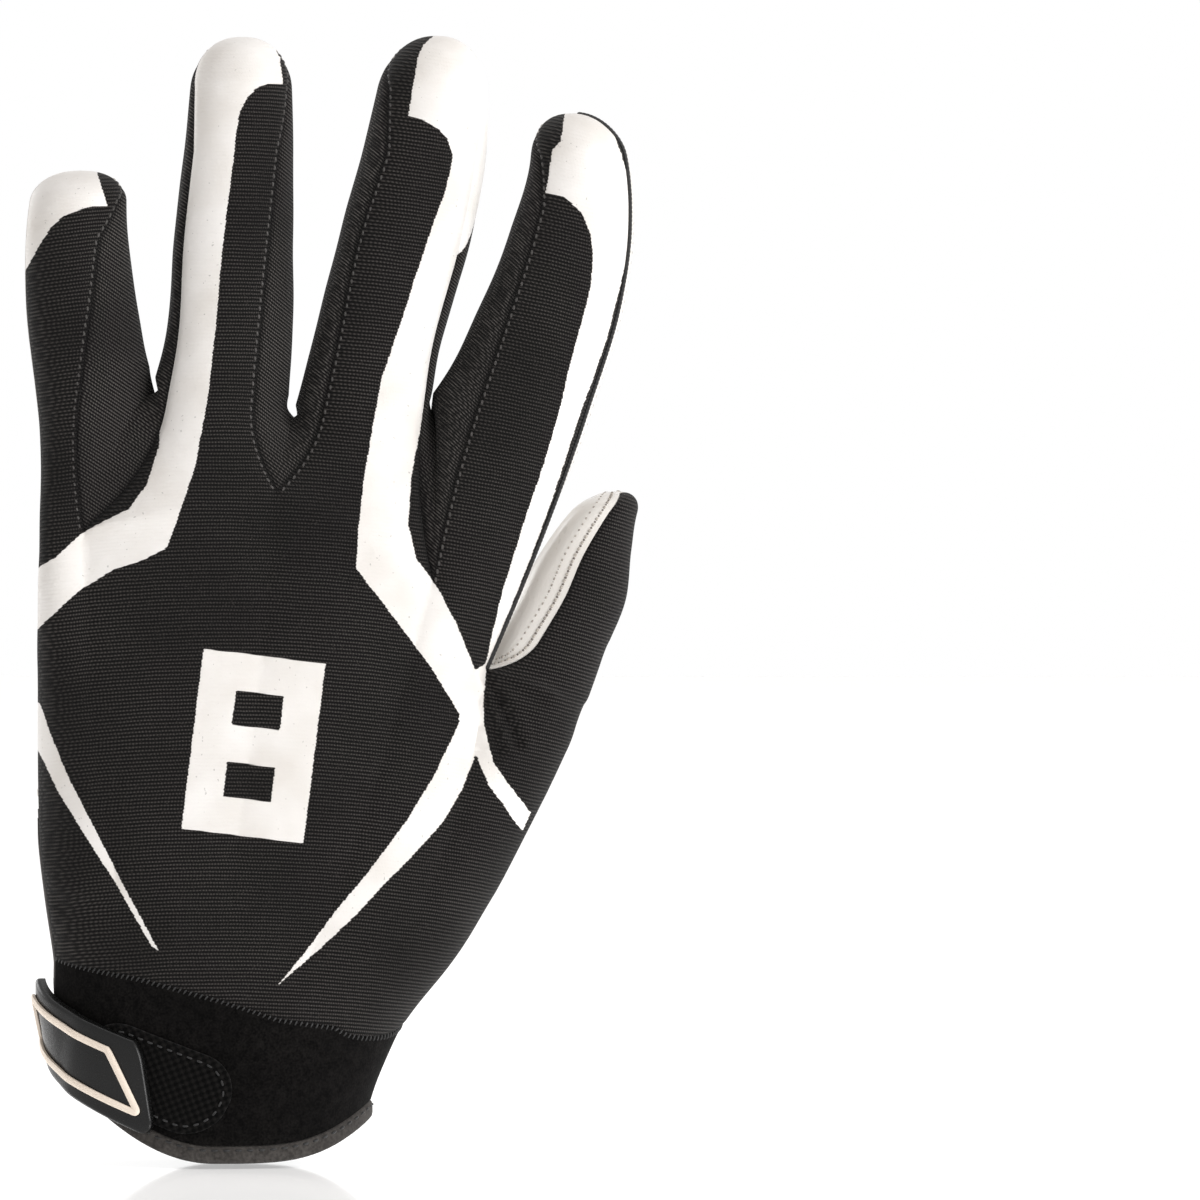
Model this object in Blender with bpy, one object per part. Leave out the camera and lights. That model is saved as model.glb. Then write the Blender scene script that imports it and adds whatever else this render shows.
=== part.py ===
"""Football receiver glove for the left hand, in the form that it has when worn.

Metres, +Z up along the fingers, +X to the thumb side, -Y out of the back of the hand.
The origin is the middle of the wrist opening. The glove is one hollow shell, cut along its
seams into a knit back panel, a coated palm panel, three gussets between the fingers and a
cuff. The cuff is slit on the little-finger side, bound with tape and closed by a rubber tab.

Every wall starts as a grid of points. Five rays run from the cuff to the fingertips. Below
the finger forks neighbouring rays share one line of points, and above them each ray is a
ring of its own. All grids are welded into one skin, whose normals give the walls, so that
neighbouring pieces meet edge to edge with a small seam gap.
"""
import math

import bpy
import numpy as np

# Driving sizes, in metres
PALM_WIDTH = 0.100
HAND_LENGTH = 0.119
HAND_DEPTH = 0.040
CUFF_LENGTH = 0.031
WRIST_WIDTH = 0.060
WRIST_DEPTH = 0.044
CUFF_TOP_WIDTH = 0.0752
CUFF_TOP_SHIFT = 0.0038
CUFF_FLARE = 1.6
FINGER_DEPTH = 0.0200
THUMB_DEPTH = 0.0215
LITTLE_LENGTH = 0.0457
RING_LENGTH = 0.0762
MIDDLE_LENGTH = 0.0788
INDEX_LENGTH = 0.0634
THUMB_LENGTH = 0.0305
LITTLE_WIDTH = 0.0236
RING_WIDTH = 0.0256
MIDDLE_WIDTH = 0.0270
INDEX_WIDTH = 0.0289
THUMB_WIDTH = 0.0240
KNIT_WALL = 0.0012
LEATHER_WALL = 0.0011
GUSSET_WALL = 0.0009
CUFF_WALL = 0.0017
SEAM_GAP = 0.0003

# How far the border of each piece is drawn back from the seam
BACK_DRAW = 0.00015
PALM_DRAW = 0.00025
GUSSET_DRAW = 0.00040
CUFF_DRAW = 0.00015

# Wrist slit and its binding tape
SLIT_OPENING = 0.0016
TAPE_WIDTH = 0.0036
TAPE_THICKNESS = 0.0024
EDGE_RISE_THUMB = 0.0085
EDGE_RISE_SLIT = 0.0180
CUFF_DIP = 0.0016

# Closure: its slant in degrees and its middle on the cuff, as an angle and a height
CLOSURE_SLANT = 22.0
CLOSURE_ANGLE = -60.0
CLOSURE_HEIGHT = 0.0205
LAY_GAP = 0.0003

# Loop patch, along and up in the closure's slant
PATCH_THICKNESS = 0.0010
PATCH_LEFT = 0.0030
PATCH_RIGHT = 0.0350
PATCH_LOW = -0.0060
PATCH_HIGH = 0.0105
PATCH_CORNER = 0.0085
PATCH_BEVEL = 0.0003

# Rubber tab and the raised outline on it
TAB_THICKNESS = 0.0020
TAB_HEIGHT = 0.0170
TAB_LEFT = -0.0215
TAB_RIGHT = 0.0250
TAB_LEAN = 0.0105
TAB_CORNER = 0.0022
TAB_BEVEL = 0.0007
TAB_CLIMB = 0.0060
TAB_LIFT_SLIT = 0.0010
TAB_RIM = 0.0030
OUTLINE_THICKNESS = 0.0006
OUTLINE_WIDTH = 0.0014
OUTLINE_CORNER = 0.0009

# Grid steps
HAND_STEPS = 7
FORK_STEPS = 3
SHAFT_STEPS = 5
DOME_STEPS = 4
STRIP_STEPS = 6
GUSSET_STEPS = 4
CUFF_STEPS = 4
PLATE_STEPS = 12
PLATE_RISE_STEPS = 4
TAPE_SIDES = 8
SLIT_ROW = 3

# Shares of the seat's correction on the rows above the cuff seam
SEAT_SHARES = (1.0, 0.55, 0.15)

# Fingertips: where the dome starts along a finger, how full it is, how far its end moves to
# the palm side as a share of the depth, and the angle at which the seams meet over it
DOME_START = 0.86
DOME_FULLNESS = 0.86
POLE_SHIFT = 0.45
SEAM_AT_TIP = 96.0

# Forks: the dome row at which a gusset ends, how softly a seam bends into the finger, the
# half angle of the web's arc, and how the pull of the web's crest fades up the finger
GUSSET_END_ROW = 2
FORK_BEND = 0.45
WEB_HALF_ANGLE = 64
WEB_PULL_ROWS = 1.6
WEB_PULL_FALL = 1.25
WEB_PULL_ON_FINGER = 0.30
WEB_PULL_DECAY = 1.1

# Tape at the slit's pointed end: where it starts, how much narrower it is there, and the
# share of the slit that it leaves open
TAPE_START = 0.45
TAPE_EASE = 0.0014
TAPE_OPEN_SHARE = 0.3
TAPE_SQUARENESS = 0.6

# Finger stations: share along the finger, centre across as a share of the palm width,
# width as a share of the finger's own width, and the seam angles in degrees, turned from
# the back of the hand towards the thumb side
STATION_COLUMNS = ("along", "centre", "width", "back_left", "back_right", "palm_right", "palm_left")
LITTLE_STATIONS = (
    (0.00, -0.250, 1.00, -86, -12, 128, -86),
    (0.40, -0.275, 0.96, -86, 13, 124, -86),
    (0.80, -0.283, 0.86, -86, 37, 118, -86),
    (1.00, -0.276, 0.80, -86, 60, 110, -86),
)
RING_STATIONS = (
    (0.00, 0.014, 1.07, -58, 30, 116, -116),
    (0.18, 0.030, 1.00, -58, 30, 116, -116),
    (0.43, 0.037, 0.96, -58, 38, 115, -114),
    (0.79, 0.052, 0.84, -58, 54, 112, -112),
    (1.00, 0.055, 0.76, -60, 66, 108, -108),
)
MIDDLE_STATIONS = (
    (0.00, 0.306, 1.04, -40, 60, 116, -116),
    (0.16, 0.329, 0.99, -40, 60, 116, -116),
    (0.47, 0.390, 1.01, -45, 60, 115, -115),
    (0.70, 0.430, 0.94, -38, 60, 112, -112),
    (1.00, 0.455, 0.72, -30, 62, 108, -108),
)
INDEX_STATIONS = (
    (0.00, 0.605, 1.09, -30, 74, 74, -122),
    (0.37, 0.690, 1.00, -36, 74, 74, -120),
    (0.61, 0.730, 0.87, -38, 74, 74, -116),
    (0.86, 0.746, 0.68, -40, 76, 76, -112),
    (1.00, 0.732, 0.60, -50, 78, 78, -108),
)
THUMB_STATIONS = (
    (0.00, 0.690, 1.00, -13, 140, 140, -13),
    (0.27, 0.730, 0.94, -9, 136, 136, -9),
    (0.60, 0.763, 0.76, -3, 130, 130, -3),
    (0.86, 0.800, 0.56, 6, 124, 124, 6),
    (1.00, 0.828, 0.44, 10, 120, 120, 10),
)

# Rays: base height as a share of the hand length, depth share at base and tip, then the lean
# of the tip and the sinking of the whole ray to the palm side as shares of the ray's depth
RAY_COLUMNS = ("name", "length", "width", "depth", "base", "depth_base", "depth_tip", "lean",
               "sink", "stations")
RAYS = (
    ("little", LITTLE_LENGTH, LITTLE_WIDTH, FINGER_DEPTH, 1.045, 0.96, 0.80, 0.15, 0.05,
     LITTLE_STATIONS),
    ("ring", RING_LENGTH, RING_WIDTH, FINGER_DEPTH, 1.020, 1.04, 0.86, 0.20, 0.00,
     RING_STATIONS),
    ("middle", MIDDLE_LENGTH, MIDDLE_WIDTH, FINGER_DEPTH, 1.000, 1.06, 0.88, 0.20, 0.00,
     MIDDLE_STATIONS),
    ("index", INDEX_LENGTH, INDEX_WIDTH, FINGER_DEPTH, 0.995, 1.04, 0.86, 0.15, 0.00,
     INDEX_STATIONS),
    ("thumb", THUMB_LENGTH, THUMB_WIDTH, THUMB_DEPTH, 0.618, 1.00, 0.72, 0.00, 0.14,
     THUMB_STATIONS),
)

# Lines between the rays, from the cuff seam up to the finger fork. Each row holds across as
# a share of the palm width, depth as a share of half the hand depth, and up as a share of
# the hand length, counted from the top of the cuff
OUTER_LINE = (
    (-0.338, -0.02, 0.070), (-0.361, -0.02, 0.291), (-0.359, -0.02, 0.515), (-0.346, -0.02, 0.756))
OUTER_LINE_PALM = (
    (-0.338, 0.02, 0.140), (-0.361, 0.02, 0.320), (-0.359, -0.02, 0.515), (-0.346, -0.02, 0.756))
BACK_LINES = (
    ((-0.174, -0.90, 0.039), (-0.215, -0.74, 0.273), (-0.252, -0.62, 0.532), (-0.267, -0.46, 0.808)),
    ((0.000, -1.00, 0.003), (0.041, -0.88, 0.239), (0.092, -0.77, 0.549), (0.129, -0.62, 0.876)),
    ((0.154, -0.98, -0.031), (0.256, -0.86, 0.187), (0.363, -0.75, 0.463), (0.445, -0.60, 0.720)),
    ((0.301, -0.80, -0.045), (0.431, -0.74, 0.170), (0.519, -0.59, 0.394), (0.558, -0.34, 0.570)),
)
PALM_LINES = (
    ((-0.174, 0.90, 0.110), (-0.185, 0.75, 0.342), (-0.164, 0.60, 0.618), (-0.135, 0.46, 0.883)),
    ((0.000, 0.98, 0.087), (0.051, 0.76, 0.342), (0.103, 0.60, 0.618), (0.156, 0.50, 0.930)),
    ((0.174, 0.96, 0.063), (0.246, 0.76, 0.291), (0.328, 0.60, 0.566), (0.422, 0.46, 0.885)),
    ((0.281, 0.88, 0.046), (0.369, 0.70, 0.239), (0.441, 0.42, 0.411), (0.558, -0.34, 0.570)),
)
THUMB_LINE = (
    (0.365, 0.72, 0.041), (0.461, 0.66, 0.170), (0.585, 0.56, 0.342), (0.715, 0.52, 0.515))

# Crests of the webs between the fingers: across, depth and up, as in the lines
WEB_CRESTS = ((-0.138, 0.00, 1.040), (0.160, 0.00, 1.000), (0.451, 0.00, 0.995))

# Swelling of each strip between two lines: the half angle of its arc in degrees, then its
# height at the cuff and at the fork as shares of half the hand depth
BACK_SWELLS = (
    (62, 0.120, 0.300), (50, 0.035, 0.090), (50, 0.020, 0.080), (50, 0.030, 0.100),
    (78, 0.470, 0.740))
PALM_SWELLS = (
    (62, 0.120, 0.250), (50, 0.030, 0.060), (50, 0.010, 0.050), (50, 0.020, 0.090),
    (60, 0.090, 0.380))


def rows_of(columns, table):
    """Give a table as arrays by column name."""
    return {name: np.array([row[i] for row in table], float) for i, name in enumerate(columns)}


def smooth(at, places, values):
    """Read a smooth curve through given values: a cubic whose slopes are those of its neighbours."""
    places = np.asarray(places, float)
    values = np.asarray(values, float)
    slopes = np.gradient(values, places, axis=0)
    at = np.clip(np.asarray(at, float), places[0], places[-1])
    i = np.clip(np.searchsorted(places, at, side="right") - 1, 0, len(places) - 2)
    span = places[i + 1] - places[i]
    t = (at - places[i]) / span
    if values.ndim == 2:
        t = t[:, None]
        span = span[:, None]
    rise = values[i + 1] * (3 * t**2 - 2 * t**3) + values[i] * (1 - 3 * t**2 + 2 * t**3)
    return rise + span * (slopes[i] * (t - 2 * t**2 + t**3) + slopes[i + 1] * (t**3 - t**2))


def unit(vectors):
    """Scale vectors to length one."""
    return vectors / np.maximum(np.linalg.norm(vectors, axis=-1, keepdims=True), 1e-12)


def place(rows):
    """Turn rows of shares into points in metres."""
    rows = np.asarray(rows, float)
    return np.stack([rows[..., 0] * PALM_WIDTH, rows[..., 1] * HAND_DEPTH / 2,
                     CUFF_LENGTH + rows[..., 2] * HAND_LENGTH], axis=-1)


def line(rows):
    """Give the points of a line between rays on the rows from the cuff seam to the fork."""
    share = np.linspace(0, 1, HAND_STEPS + 1)
    return smooth(share, np.linspace(0, 1, len(rows)), place(rows))


def seat(grid):
    """Set the lowest row of a grid on the cuff's oval, and ease the next rows towards it."""
    oval = cuff_point(cuff_angle(grid[0]), grid[0][..., 2])
    miss = oval - grid[0]
    seated = grid.copy()
    for row, share in enumerate(SEAT_SHARES):
        seated[row] += miss * share
    return seated


class Ray:
    """A finger or the thumb: level rings along a leaning centre line, closed by a dome."""

    def __init__(self, row):
        self.size = dict(zip(RAY_COLUMNS, row))
        self.table = rows_of(STATION_COLUMNS, self.size["stations"])
        shaft = np.linspace(0, DOME_START, SHAFT_STEPS + 1)
        turn = np.linspace(0, math.pi / 2, DOME_STEPS + 1)[1:]
        self.along = np.concatenate([shaft, DOME_START + (1 - DOME_START) * np.sin(turn)])
        self.round = np.concatenate([np.ones(len(shaft)), np.cos(turn) ** DOME_FULLNESS])
        self.round[-1] = 0.0

    def read(self, name):
        """Read one column of the stations at each ring."""
        return smooth(self.along, self.table["along"], self.table[name])

    def seam(self, name, partner):
        """Give a seam's angle at each ring; beyond the gusset's end it shares its partner's."""
        angle = self.read(name)
        other = self.read(partner)
        end = SHAFT_STEPS + GUSSET_END_ROW
        start = SHAFT_STEPS - 1
        rows = np.arange(len(angle))
        share = np.clip((rows - start) / (end - start), 0, 1)
        if np.allclose(angle, other):
            return angle
        tip_angle = SEAM_AT_TIP if name.endswith("right") else -SEAM_AT_TIP
        return angle + (tip_angle - angle) * share

    def ring(self, angles):
        """Give points at one angle for each ring, or at a row of angles for each ring."""
        size = self.size
        angles = np.radians(angles)
        shape = (-1,) + (1,) * (angles.ndim - 1)
        half_width = (self.read("width") * size["width"] / 2 * self.round).reshape(shape)
        share = size["depth_base"] + (size["depth_tip"] - size["depth_base"]) * self.along
        half_depth = share * size["depth"] / 2
        pole = POLE_SHIFT * half_depth * (1 - self.round)
        lean = size["lean"] * size["depth"] * self.along**2 + size["sink"] * size["depth"]
        centre_y = (lean + pole).reshape(shape)
        half_depth = (half_depth * self.round).reshape(shape)
        centre_x = (self.read("centre") * PALM_WIDTH).reshape(shape)
        base = CUFF_LENGTH + size["base"] * HAND_LENGTH
        height = (base + self.along * size["length"]).reshape(shape)
        return np.stack([centre_x + half_width * np.sin(angles),
                         centre_y - half_depth * np.cos(angles),
                         height + 0 * angles], axis=-1)


def fork_curve(fork, ring_line):
    """Lead a seam from the fork to the finger's base on a bend that ends along the finger."""
    base = ring_line[0]
    along = unit(ring_line[1] - ring_line[0])
    control = base - along * FORK_BEND * np.linalg.norm(base - fork)
    t = np.linspace(0, 1, FORK_STEPS + 1)[:, None]
    return (1 - t) ** 2 * fork + 2 * t * (1 - t) * control + t**2 * base


def bulge(half_angle, steps):
    """Give the even spread and the rise of an arc over its chord, each at every step."""
    half = math.radians(half_angle)
    turn = np.linspace(-half, half, steps + 1)
    spread = 0.5 + 0.5 * np.sin(turn) / math.sin(half)
    rise = (np.cos(turn) - math.cos(half)) / (1 - math.cos(half))
    return spread, rise


def strip(ray, left, right, left_angle, right_angle, swell, out):
    """Fill the wall between two long seams.

    In the hand it is an arc over the chord from one line to the other, on the fingers a
    stretch of the ring, and between them the offset from the chord blends from one into
    the other. out is 1 on the back and -1 on the palm.
    """
    half_angle, at_cuff, at_fork = swell
    share = np.linspace(0, 1, STRIP_STEPS + 1)
    rings = ray.ring(left_angle[:, None] + (right_angle - left_angle)[:, None] * share)
    low = HAND_STEPS + FORK_STEPS + 1
    start = left[:low, None]
    end = right[:low, None]
    spread, rise = bulge(half_angle, STRIP_STEPS)
    chord = start + (end - start) * spread[None, :, None]
    middle = (start + end)[:, 0] / 2
    outward = unit(np.cross((end - start)[:, 0], np.gradient(middle, axis=0))) * out
    step = np.clip(np.arange(low) / HAND_STEPS, 0, 1)
    height = (at_cuff + (at_fork - at_cuff) * step**1.5) * HAND_DEPTH / 2
    shallow = chord + (height[:, None] * rise)[..., None] * outward[:, None]
    straight = start + (end - start) * share[None, :, None]
    ring_offset = rings[0] - (rings[0, :1] + (rings[0, -1:] - rings[0, :1]) * share[:, None])
    full = straight + ring_offset
    blend = np.clip((np.arange(low) - HAND_STEPS + 1) / (FORK_STEPS + 1), 0, 1)
    blend = (blend**2 * (3 - 2 * blend))[:, None, None]
    hand = shallow * (1 - blend) + full * blend
    return seat(np.concatenate([hand[:-1], rings]))


def gusset_side(back, palm, crest, ray, back_angle, palm_angle, out):
    """Fill one side of a fork from the back seam to the palm seam.

    At the fork the arc over the chord reaches the web's crest, and on the finger it is a
    stretch of the ring, drawn up near the fork so that the crest stays lowest.
    """
    share = np.linspace(0, 1, GUSSET_STEPS + 1)
    end = SHAFT_STEPS + GUSSET_END_ROW + 1
    back_angle = back_angle[:end]
    palm_angle = palm_angle[:end]
    span = palm_angle - back_angle
    angles = np.zeros((len(ray.along), GUSSET_STEPS + 1))
    angles[:end] = back_angle[:, None] + span[:, None] * share
    rings = ray.ring(angles)[:end]
    low = HAND_STEPS
    start = np.concatenate([back[low:low + FORK_STEPS], rings[:, 0]])
    finish = np.concatenate([palm[low:low + FORK_STEPS], rings[:, -1]])
    spread, rise = bulge(WEB_HALF_ANGLE, GUSSET_STEPS)
    middle = (start + finish) / 2
    reach = np.zeros_like(middle)
    reach[0] = crest - middle[0]
    mid_column = GUSSET_STEPS // 2
    side = rings[:, mid_column] - (rings[:, 0] + rings[:, -1]) / 2
    gain = reach[0, 2]
    rows = np.arange(len(middle))
    fading = np.maximum(1 - rows / (FORK_STEPS + WEB_PULL_ROWS), 0) ** WEB_PULL_FALL
    upper = WEB_PULL_ON_FINGER * np.exp(-WEB_PULL_DECAY * (rows - FORK_STEPS))
    drawn = gain * np.where(rows <= FORK_STEPS, fading, upper)
    drawn[-2:] = 0
    ring_rows = np.maximum(rows - FORK_STEPS, 0)
    weight = np.minimum(rows / FORK_STEPS, 1)[:, None]
    level = reach[0] * [1, 1, 0]
    pull = drawn[:, None] * [0, 0, 1]
    reach[1:] = (side[ring_rows] * weight + level * (1 - weight) + pull)[1:]
    grid = start[:, None] + (finish - start)[:, None] * spread[None, :, None]
    grid = grid + reach[:, None] * rise[None, :, None]
    upper = np.clip((rows - FORK_STEPS - 2) / 2, 0, 1)[:, None, None]
    padded = np.concatenate([grid[:FORK_STEPS], rings])
    grid = grid * (1 - upper) + padded * upper
    grid[:, 0] = start
    grid[:, -1] = finish
    return grid if out > 0 else grid[:, ::-1]


def cuff_point(angle, height):
    """Give a point on the cuff's outside: level ovals that narrow towards the opening."""
    top = np.clip(height / CUFF_LENGTH, 0, 1) ** CUFF_FLARE
    half_width = (WRIST_WIDTH + (CUFF_TOP_WIDTH - WRIST_WIDTH) * top) / 2
    half_depth = (WRIST_DEPTH + (HAND_DEPTH - WRIST_DEPTH) * top) / 2
    centre = CUFF_TOP_SHIFT * top
    return np.stack([centre + half_width * np.sin(angle), -half_depth * np.cos(angle),
                     height + 0 * angle], axis=-1)


def cuff_angle(points):
    """Give the angle round the cuff at which points of the cuff seam stand."""
    across = (points[..., 0] - CUFF_TOP_SHIFT) / CUFF_TOP_WIDTH
    return np.arctan2(across, -points[..., 1] / HAND_DEPTH)


def edge_height(angle):
    """Give the height of the cuff's lower edge: lowest at the back, higher at the sides."""
    side = np.sin(angle)
    thumb = EDGE_RISE_THUMB * np.clip(side, 0, 1) ** 4
    slit = EDGE_RISE_SLIT * np.clip(-side, 0, 1) ** 2
    return thumb + slit - CUFF_DIP


def cuff_strip(top):
    """Carry a strip's lowest row down to the cuff's edge, above the binding tape."""
    angle = cuff_angle(top)
    bottom = edge_height(angle) + TAPE_WIDTH
    share = np.linspace(0, 1, CUFF_STEPS + 1)[:, None]
    rows = cuff_point(angle[None], bottom + (top[:, 2] - bottom) * share)
    rows[-1] = top
    return rows


def slit_shift(points, sign):
    """Open the slit: move the outer line off the middle of the slit below the slit's end."""
    half = SLIT_OPENING / 2 + TAPE_WIDTH + SEAM_GAP
    rows = np.arange(len(points))
    share = np.clip(SLIT_ROW - rows, 0, 1)
    moved = points.copy()
    moved[:, 1] += sign * half * share
    return moved


def glove_patches():
    """Work out every wall of the glove as a grid, with the piece that it belongs to."""
    rays = [Ray(row) for row in RAYS]
    outer = line(OUTER_LINE)
    outer_palm = line(OUTER_LINE_PALM)
    outer_palm[SLIT_ROW:] = outer[SLIT_ROW:]
    thumb = seat(line(THUMB_LINE))
    back = [seat(slit_shift(outer, -1))] + [seat(line(rows)) for rows in BACK_LINES] + [thumb]
    palm = [seat(slit_shift(outer_palm, 1))] + [seat(line(rows)) for rows in PALM_LINES] + [thumb]
    patches = []
    seams = {}
    legs = []
    feet = {"back": [], "palm": []}
    for number, ray in enumerate(rays):
        angles = {
            "back_left": ray.seam("back_left", "palm_left"),
            "back_right": ray.seam("back_right", "palm_right"),
            "palm_right": ray.seam("palm_right", "back_right"),
            "palm_left": ray.seam("palm_left", "back_left"),
        }
        for side, lines in (("back", back), ("palm", palm)):
            for edge, index in (("left", number), ("right", number + 1)):
                name = side + "_" + edge
                ring_line = ray.ring(angles[name])
                lead = fork_curve(lines[index][-1], ring_line)
                seams[number, name] = np.concatenate([lines[index], lead[1:-1], ring_line])
        for side, out, swells, panel in (("back", 1, BACK_SWELLS, "back_panel"),
                                         ("palm", -1, PALM_SWELLS, "palm_panel")):
            left_angle = angles[side + "_left"]
            right_angle = angles[side + "_right"]
            if side == "palm":
                left_angle = left_angle + 360
            grid = strip(ray, seams[number, side + "_left"], seams[number, side + "_right"],
                         left_angle, right_angle, swells[number], out)
            cuff_grid = cuff_strip(grid[0])
            patches.append((panel, grid, out))
            patches.append(("cuff", cuff_grid, out))
            if number == 0:
                legs.append(np.concatenate([lines[0][SLIT_ROW::-1], cuff_grid[::-1, 0][1:]]))
            feet[side] += list(cuff_grid[0, ::2])
        seams[number, "angles"] = angles
    names = ("gusset_little_ring", "gusset_ring_middle", "gusset_middle_index")
    for number, name in enumerate(names):
        crest = place(WEB_CRESTS[number])
        for ray_number, edge, out in ((number, "right", 1), (number + 1, "left", -1)):
            angles = seams[ray_number, "angles"]
            palm_angle = angles["palm_" + edge]
            grid = gusset_side(seams[ray_number, "back_" + edge], seams[ray_number, "palm_" + edge],
                               crest, rays[ray_number], angles["back_" + edge], palm_angle, out)
            patches.append((name, grid, 1))
    patches.append(("slit", np.stack([legs[1], legs[0]], axis=1)[::-1], 1))
    edge = np.array(feet["back"] + feet["palm"][::-1])
    fresh = np.linalg.norm(np.diff(edge, axis=0), axis=1) > SEAM_GAP
    return patches, legs, edge[np.concatenate([[True], fresh])]


def weld(patches):
    """Join all grids into one skin: shared points, faces, and the piece of each face."""
    points = []
    faces = []
    owners = []
    for name, grid, out in patches:
        first = sum(len(block) for block in points)
        rows, columns = grid.shape[:2]
        points.append(grid.reshape(-1, 3))
        number = first + np.arange(rows * columns).reshape(rows, columns)
        corners = np.stack([number[:-1, :-1], number[:-1, 1:], number[1:, 1:], number[1:, :-1]],
                           axis=-1).reshape(-1, 4)
        faces.append(corners if out > 0 else corners[:, ::-1])
        owners += [name] * len(corners)
    points = np.concatenate(points)
    faces = np.concatenate(faces)
    keys = np.round(points / 2e-6).astype(np.int64)
    _, keep, same = np.unique(keys, axis=0, return_index=True, return_inverse=True)
    return points[keep], same.reshape(-1)[faces], np.array(owners)


def clean_face(face):
    """Drop repeated corners of a face; give None where fewer than three are left."""
    corners = [c for i, c in enumerate(face) if c != face[i - 1]]
    return corners if len(set(corners)) > 2 else None


def skin_normals(points, faces):
    """Give the skin's normal at each point, from the faces that meet there."""
    corner = points[faces]
    normal = np.cross(corner[:, 2] - corner[:, 0], corner[:, 3] - corner[:, 1])
    total = np.zeros_like(points)
    for i in range(4):
        np.add.at(total, faces[:, i], normal)
    return unit(total)


def panel_mesh(name, points, faces, owners, normals, wall, draw):
    """Cut one piece out of the skin, draw its border back, and give it a wall inwards."""
    own = [clean_face(face) for face in faces[owners == name]]
    own = [face for face in own if face]
    used = sorted({corner for face in own for corner in face})
    number = {corner: i for i, corner in enumerate(used)}
    own = [[number[corner] for corner in face] for face in own]
    outer = points[used].copy()
    normal = normals[used]
    edges = {(face[i - 1], corner) for face in own for i, corner in enumerate(face)}
    border = sorted(edge for edge in edges if (edge[1], edge[0]) not in edges)
    inward = np.zeros_like(outer)
    for start, end in border:
        along = unit(outer[end] - outer[start])
        for corner in (start, end):
            inward[corner] += unit(np.cross(normal[corner], along))
    length = np.maximum(np.sum(inward**2, axis=1, keepdims=True), 0.8)
    outer += np.where(np.any(inward, axis=1, keepdims=True), inward / length * 2 * draw, 0)
    count = len(outer)
    inner = outer - normal * wall
    solid = list(own) + [[corner + count for corner in reversed(face)] for face in own]
    solid += [[end, start, start + count, end + count] for start, end in border]
    return np.concatenate([outer, inner]), solid


def cuff_outward(angle):
    """Give the outward direction on the cuff at an angle round it."""
    turned = np.stack([np.sin(angle) / WRIST_WIDTH, -np.cos(angle) / WRIST_DEPTH, 0 * angle], axis=-1)
    return unit(turned)


def tape_path(legs, feet):
    """Lead the tape down one side of the slit, round the cuff's lower edge and up the other.

    legs are the two edges of the slit from its end down to the cuff's edge, and feet the
    lower edge from the back leg round to the palm leg. Gives points, the outward direction
    and the half width, which narrows to fill the slit's pointed end.
    """
    sides = []
    middle = (legs[0][-1, 1] + legs[1][-1, 1]) / 2
    low = feet[1:-1].copy()
    low[:, 2] -= (TAPE_WIDTH + SEAM_GAP) / 2
    corners = []
    for leg, foot, sign in zip(legs, (feet[0], feet[-1]), (-1, 1)):
        start = leg[0] + (leg[1] - leg[0]) * TAPE_START
        edge = np.concatenate([[start], leg[1:-1]])
        reach = np.abs(edge[:, 1] - middle)
        inner = np.minimum(SLIT_OPENING / 2, TAPE_OPEN_SHARE * reach)
        outer = reach - 1.5 * SEAM_GAP
        outer[:2] -= TAPE_EASE * np.minimum(reach[:2] / reach[1], 1)
        edge[:, 1] = middle + sign * (inner + outer) / 2
        sides.append((edge, (outer - inner) / 2))
        corner = edge[-1].copy()
        corner[2] = foot[2] - (TAPE_WIDTH + SEAM_GAP) / 2
        corners.append(corner)
    half = np.full(len(low) + 2, (TAPE_WIDTH - SEAM_GAP / 2) / 2)
    path = np.concatenate([sides[0][0], [corners[0]], low, [corners[1]], sides[1][0][::-1]])
    widths = np.concatenate([sides[0][1], half, sides[1][1][::-1]])
    outward = cuff_outward(cuff_angle(path))
    return path - outward * CUFF_WALL / 2, outward, widths


def sweep(path, outward, half_width, half_thickness, sides, closed):
    """Sweep a rounded flat section along a path, mitred at its bends, with flat ends."""
    ahead = np.roll(path, -1, axis=0) - path
    if not closed:
        ahead[-1] = ahead[-2]
    across = unit(np.cross(ahead, outward))
    before = np.roll(across, 1, axis=0)
    if not closed:
        before[0] = across[0]
    meet = np.maximum(1 + np.sum(across * before, axis=1, keepdims=True), 0.6)
    across = (across + before) / meet
    turn = (np.arange(sides) + 0.5) * 2 * math.pi / sides
    flat = np.abs(np.cos(turn)) ** TAPE_SQUARENESS * np.sign(np.cos(turn))
    thick = np.abs(np.sin(turn)) ** TAPE_SQUARENESS * np.sign(np.sin(turn))
    half_width = np.broadcast_to(half_width, len(path))
    rings = (path[:, None] + across[:, None] * (half_width[:, None] * flat)[..., None]
             + outward[:, None] * (half_thickness * thick)[None, :, None])
    number = np.arange(len(path) * sides).reshape(len(path), sides)
    beside = np.roll(number, -1, axis=1)
    faces = np.stack([number[:-1], number[1:], beside[1:], beside[:-1]], axis=-1).reshape(-1, 4)
    faces = faces.tolist()
    if closed:
        faces += np.stack([number[-1], number[0], beside[0], beside[-1]], axis=-1).tolist()
    else:
        faces += [number[0].tolist(), number[-1, ::-1].tolist()]
    return rings.reshape(-1, 3), faces


def closure_point(along, up, lift):
    """Lay a point of the closure on the cuff: along and up in the closure's own slant."""
    slant = math.radians(CLOSURE_SLANT)
    around = along * math.cos(slant) + up * math.sin(slant)
    height = CLOSURE_HEIGHT - along * math.sin(slant) + up * math.cos(slant)
    angle = math.radians(CLOSURE_ANGLE) + around / (WRIST_WIDTH / 2)
    height = np.broadcast_to(height, angle.shape)
    return cuff_point(angle, height) + cuff_outward(angle) * np.asarray(lift)[..., None]


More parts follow.
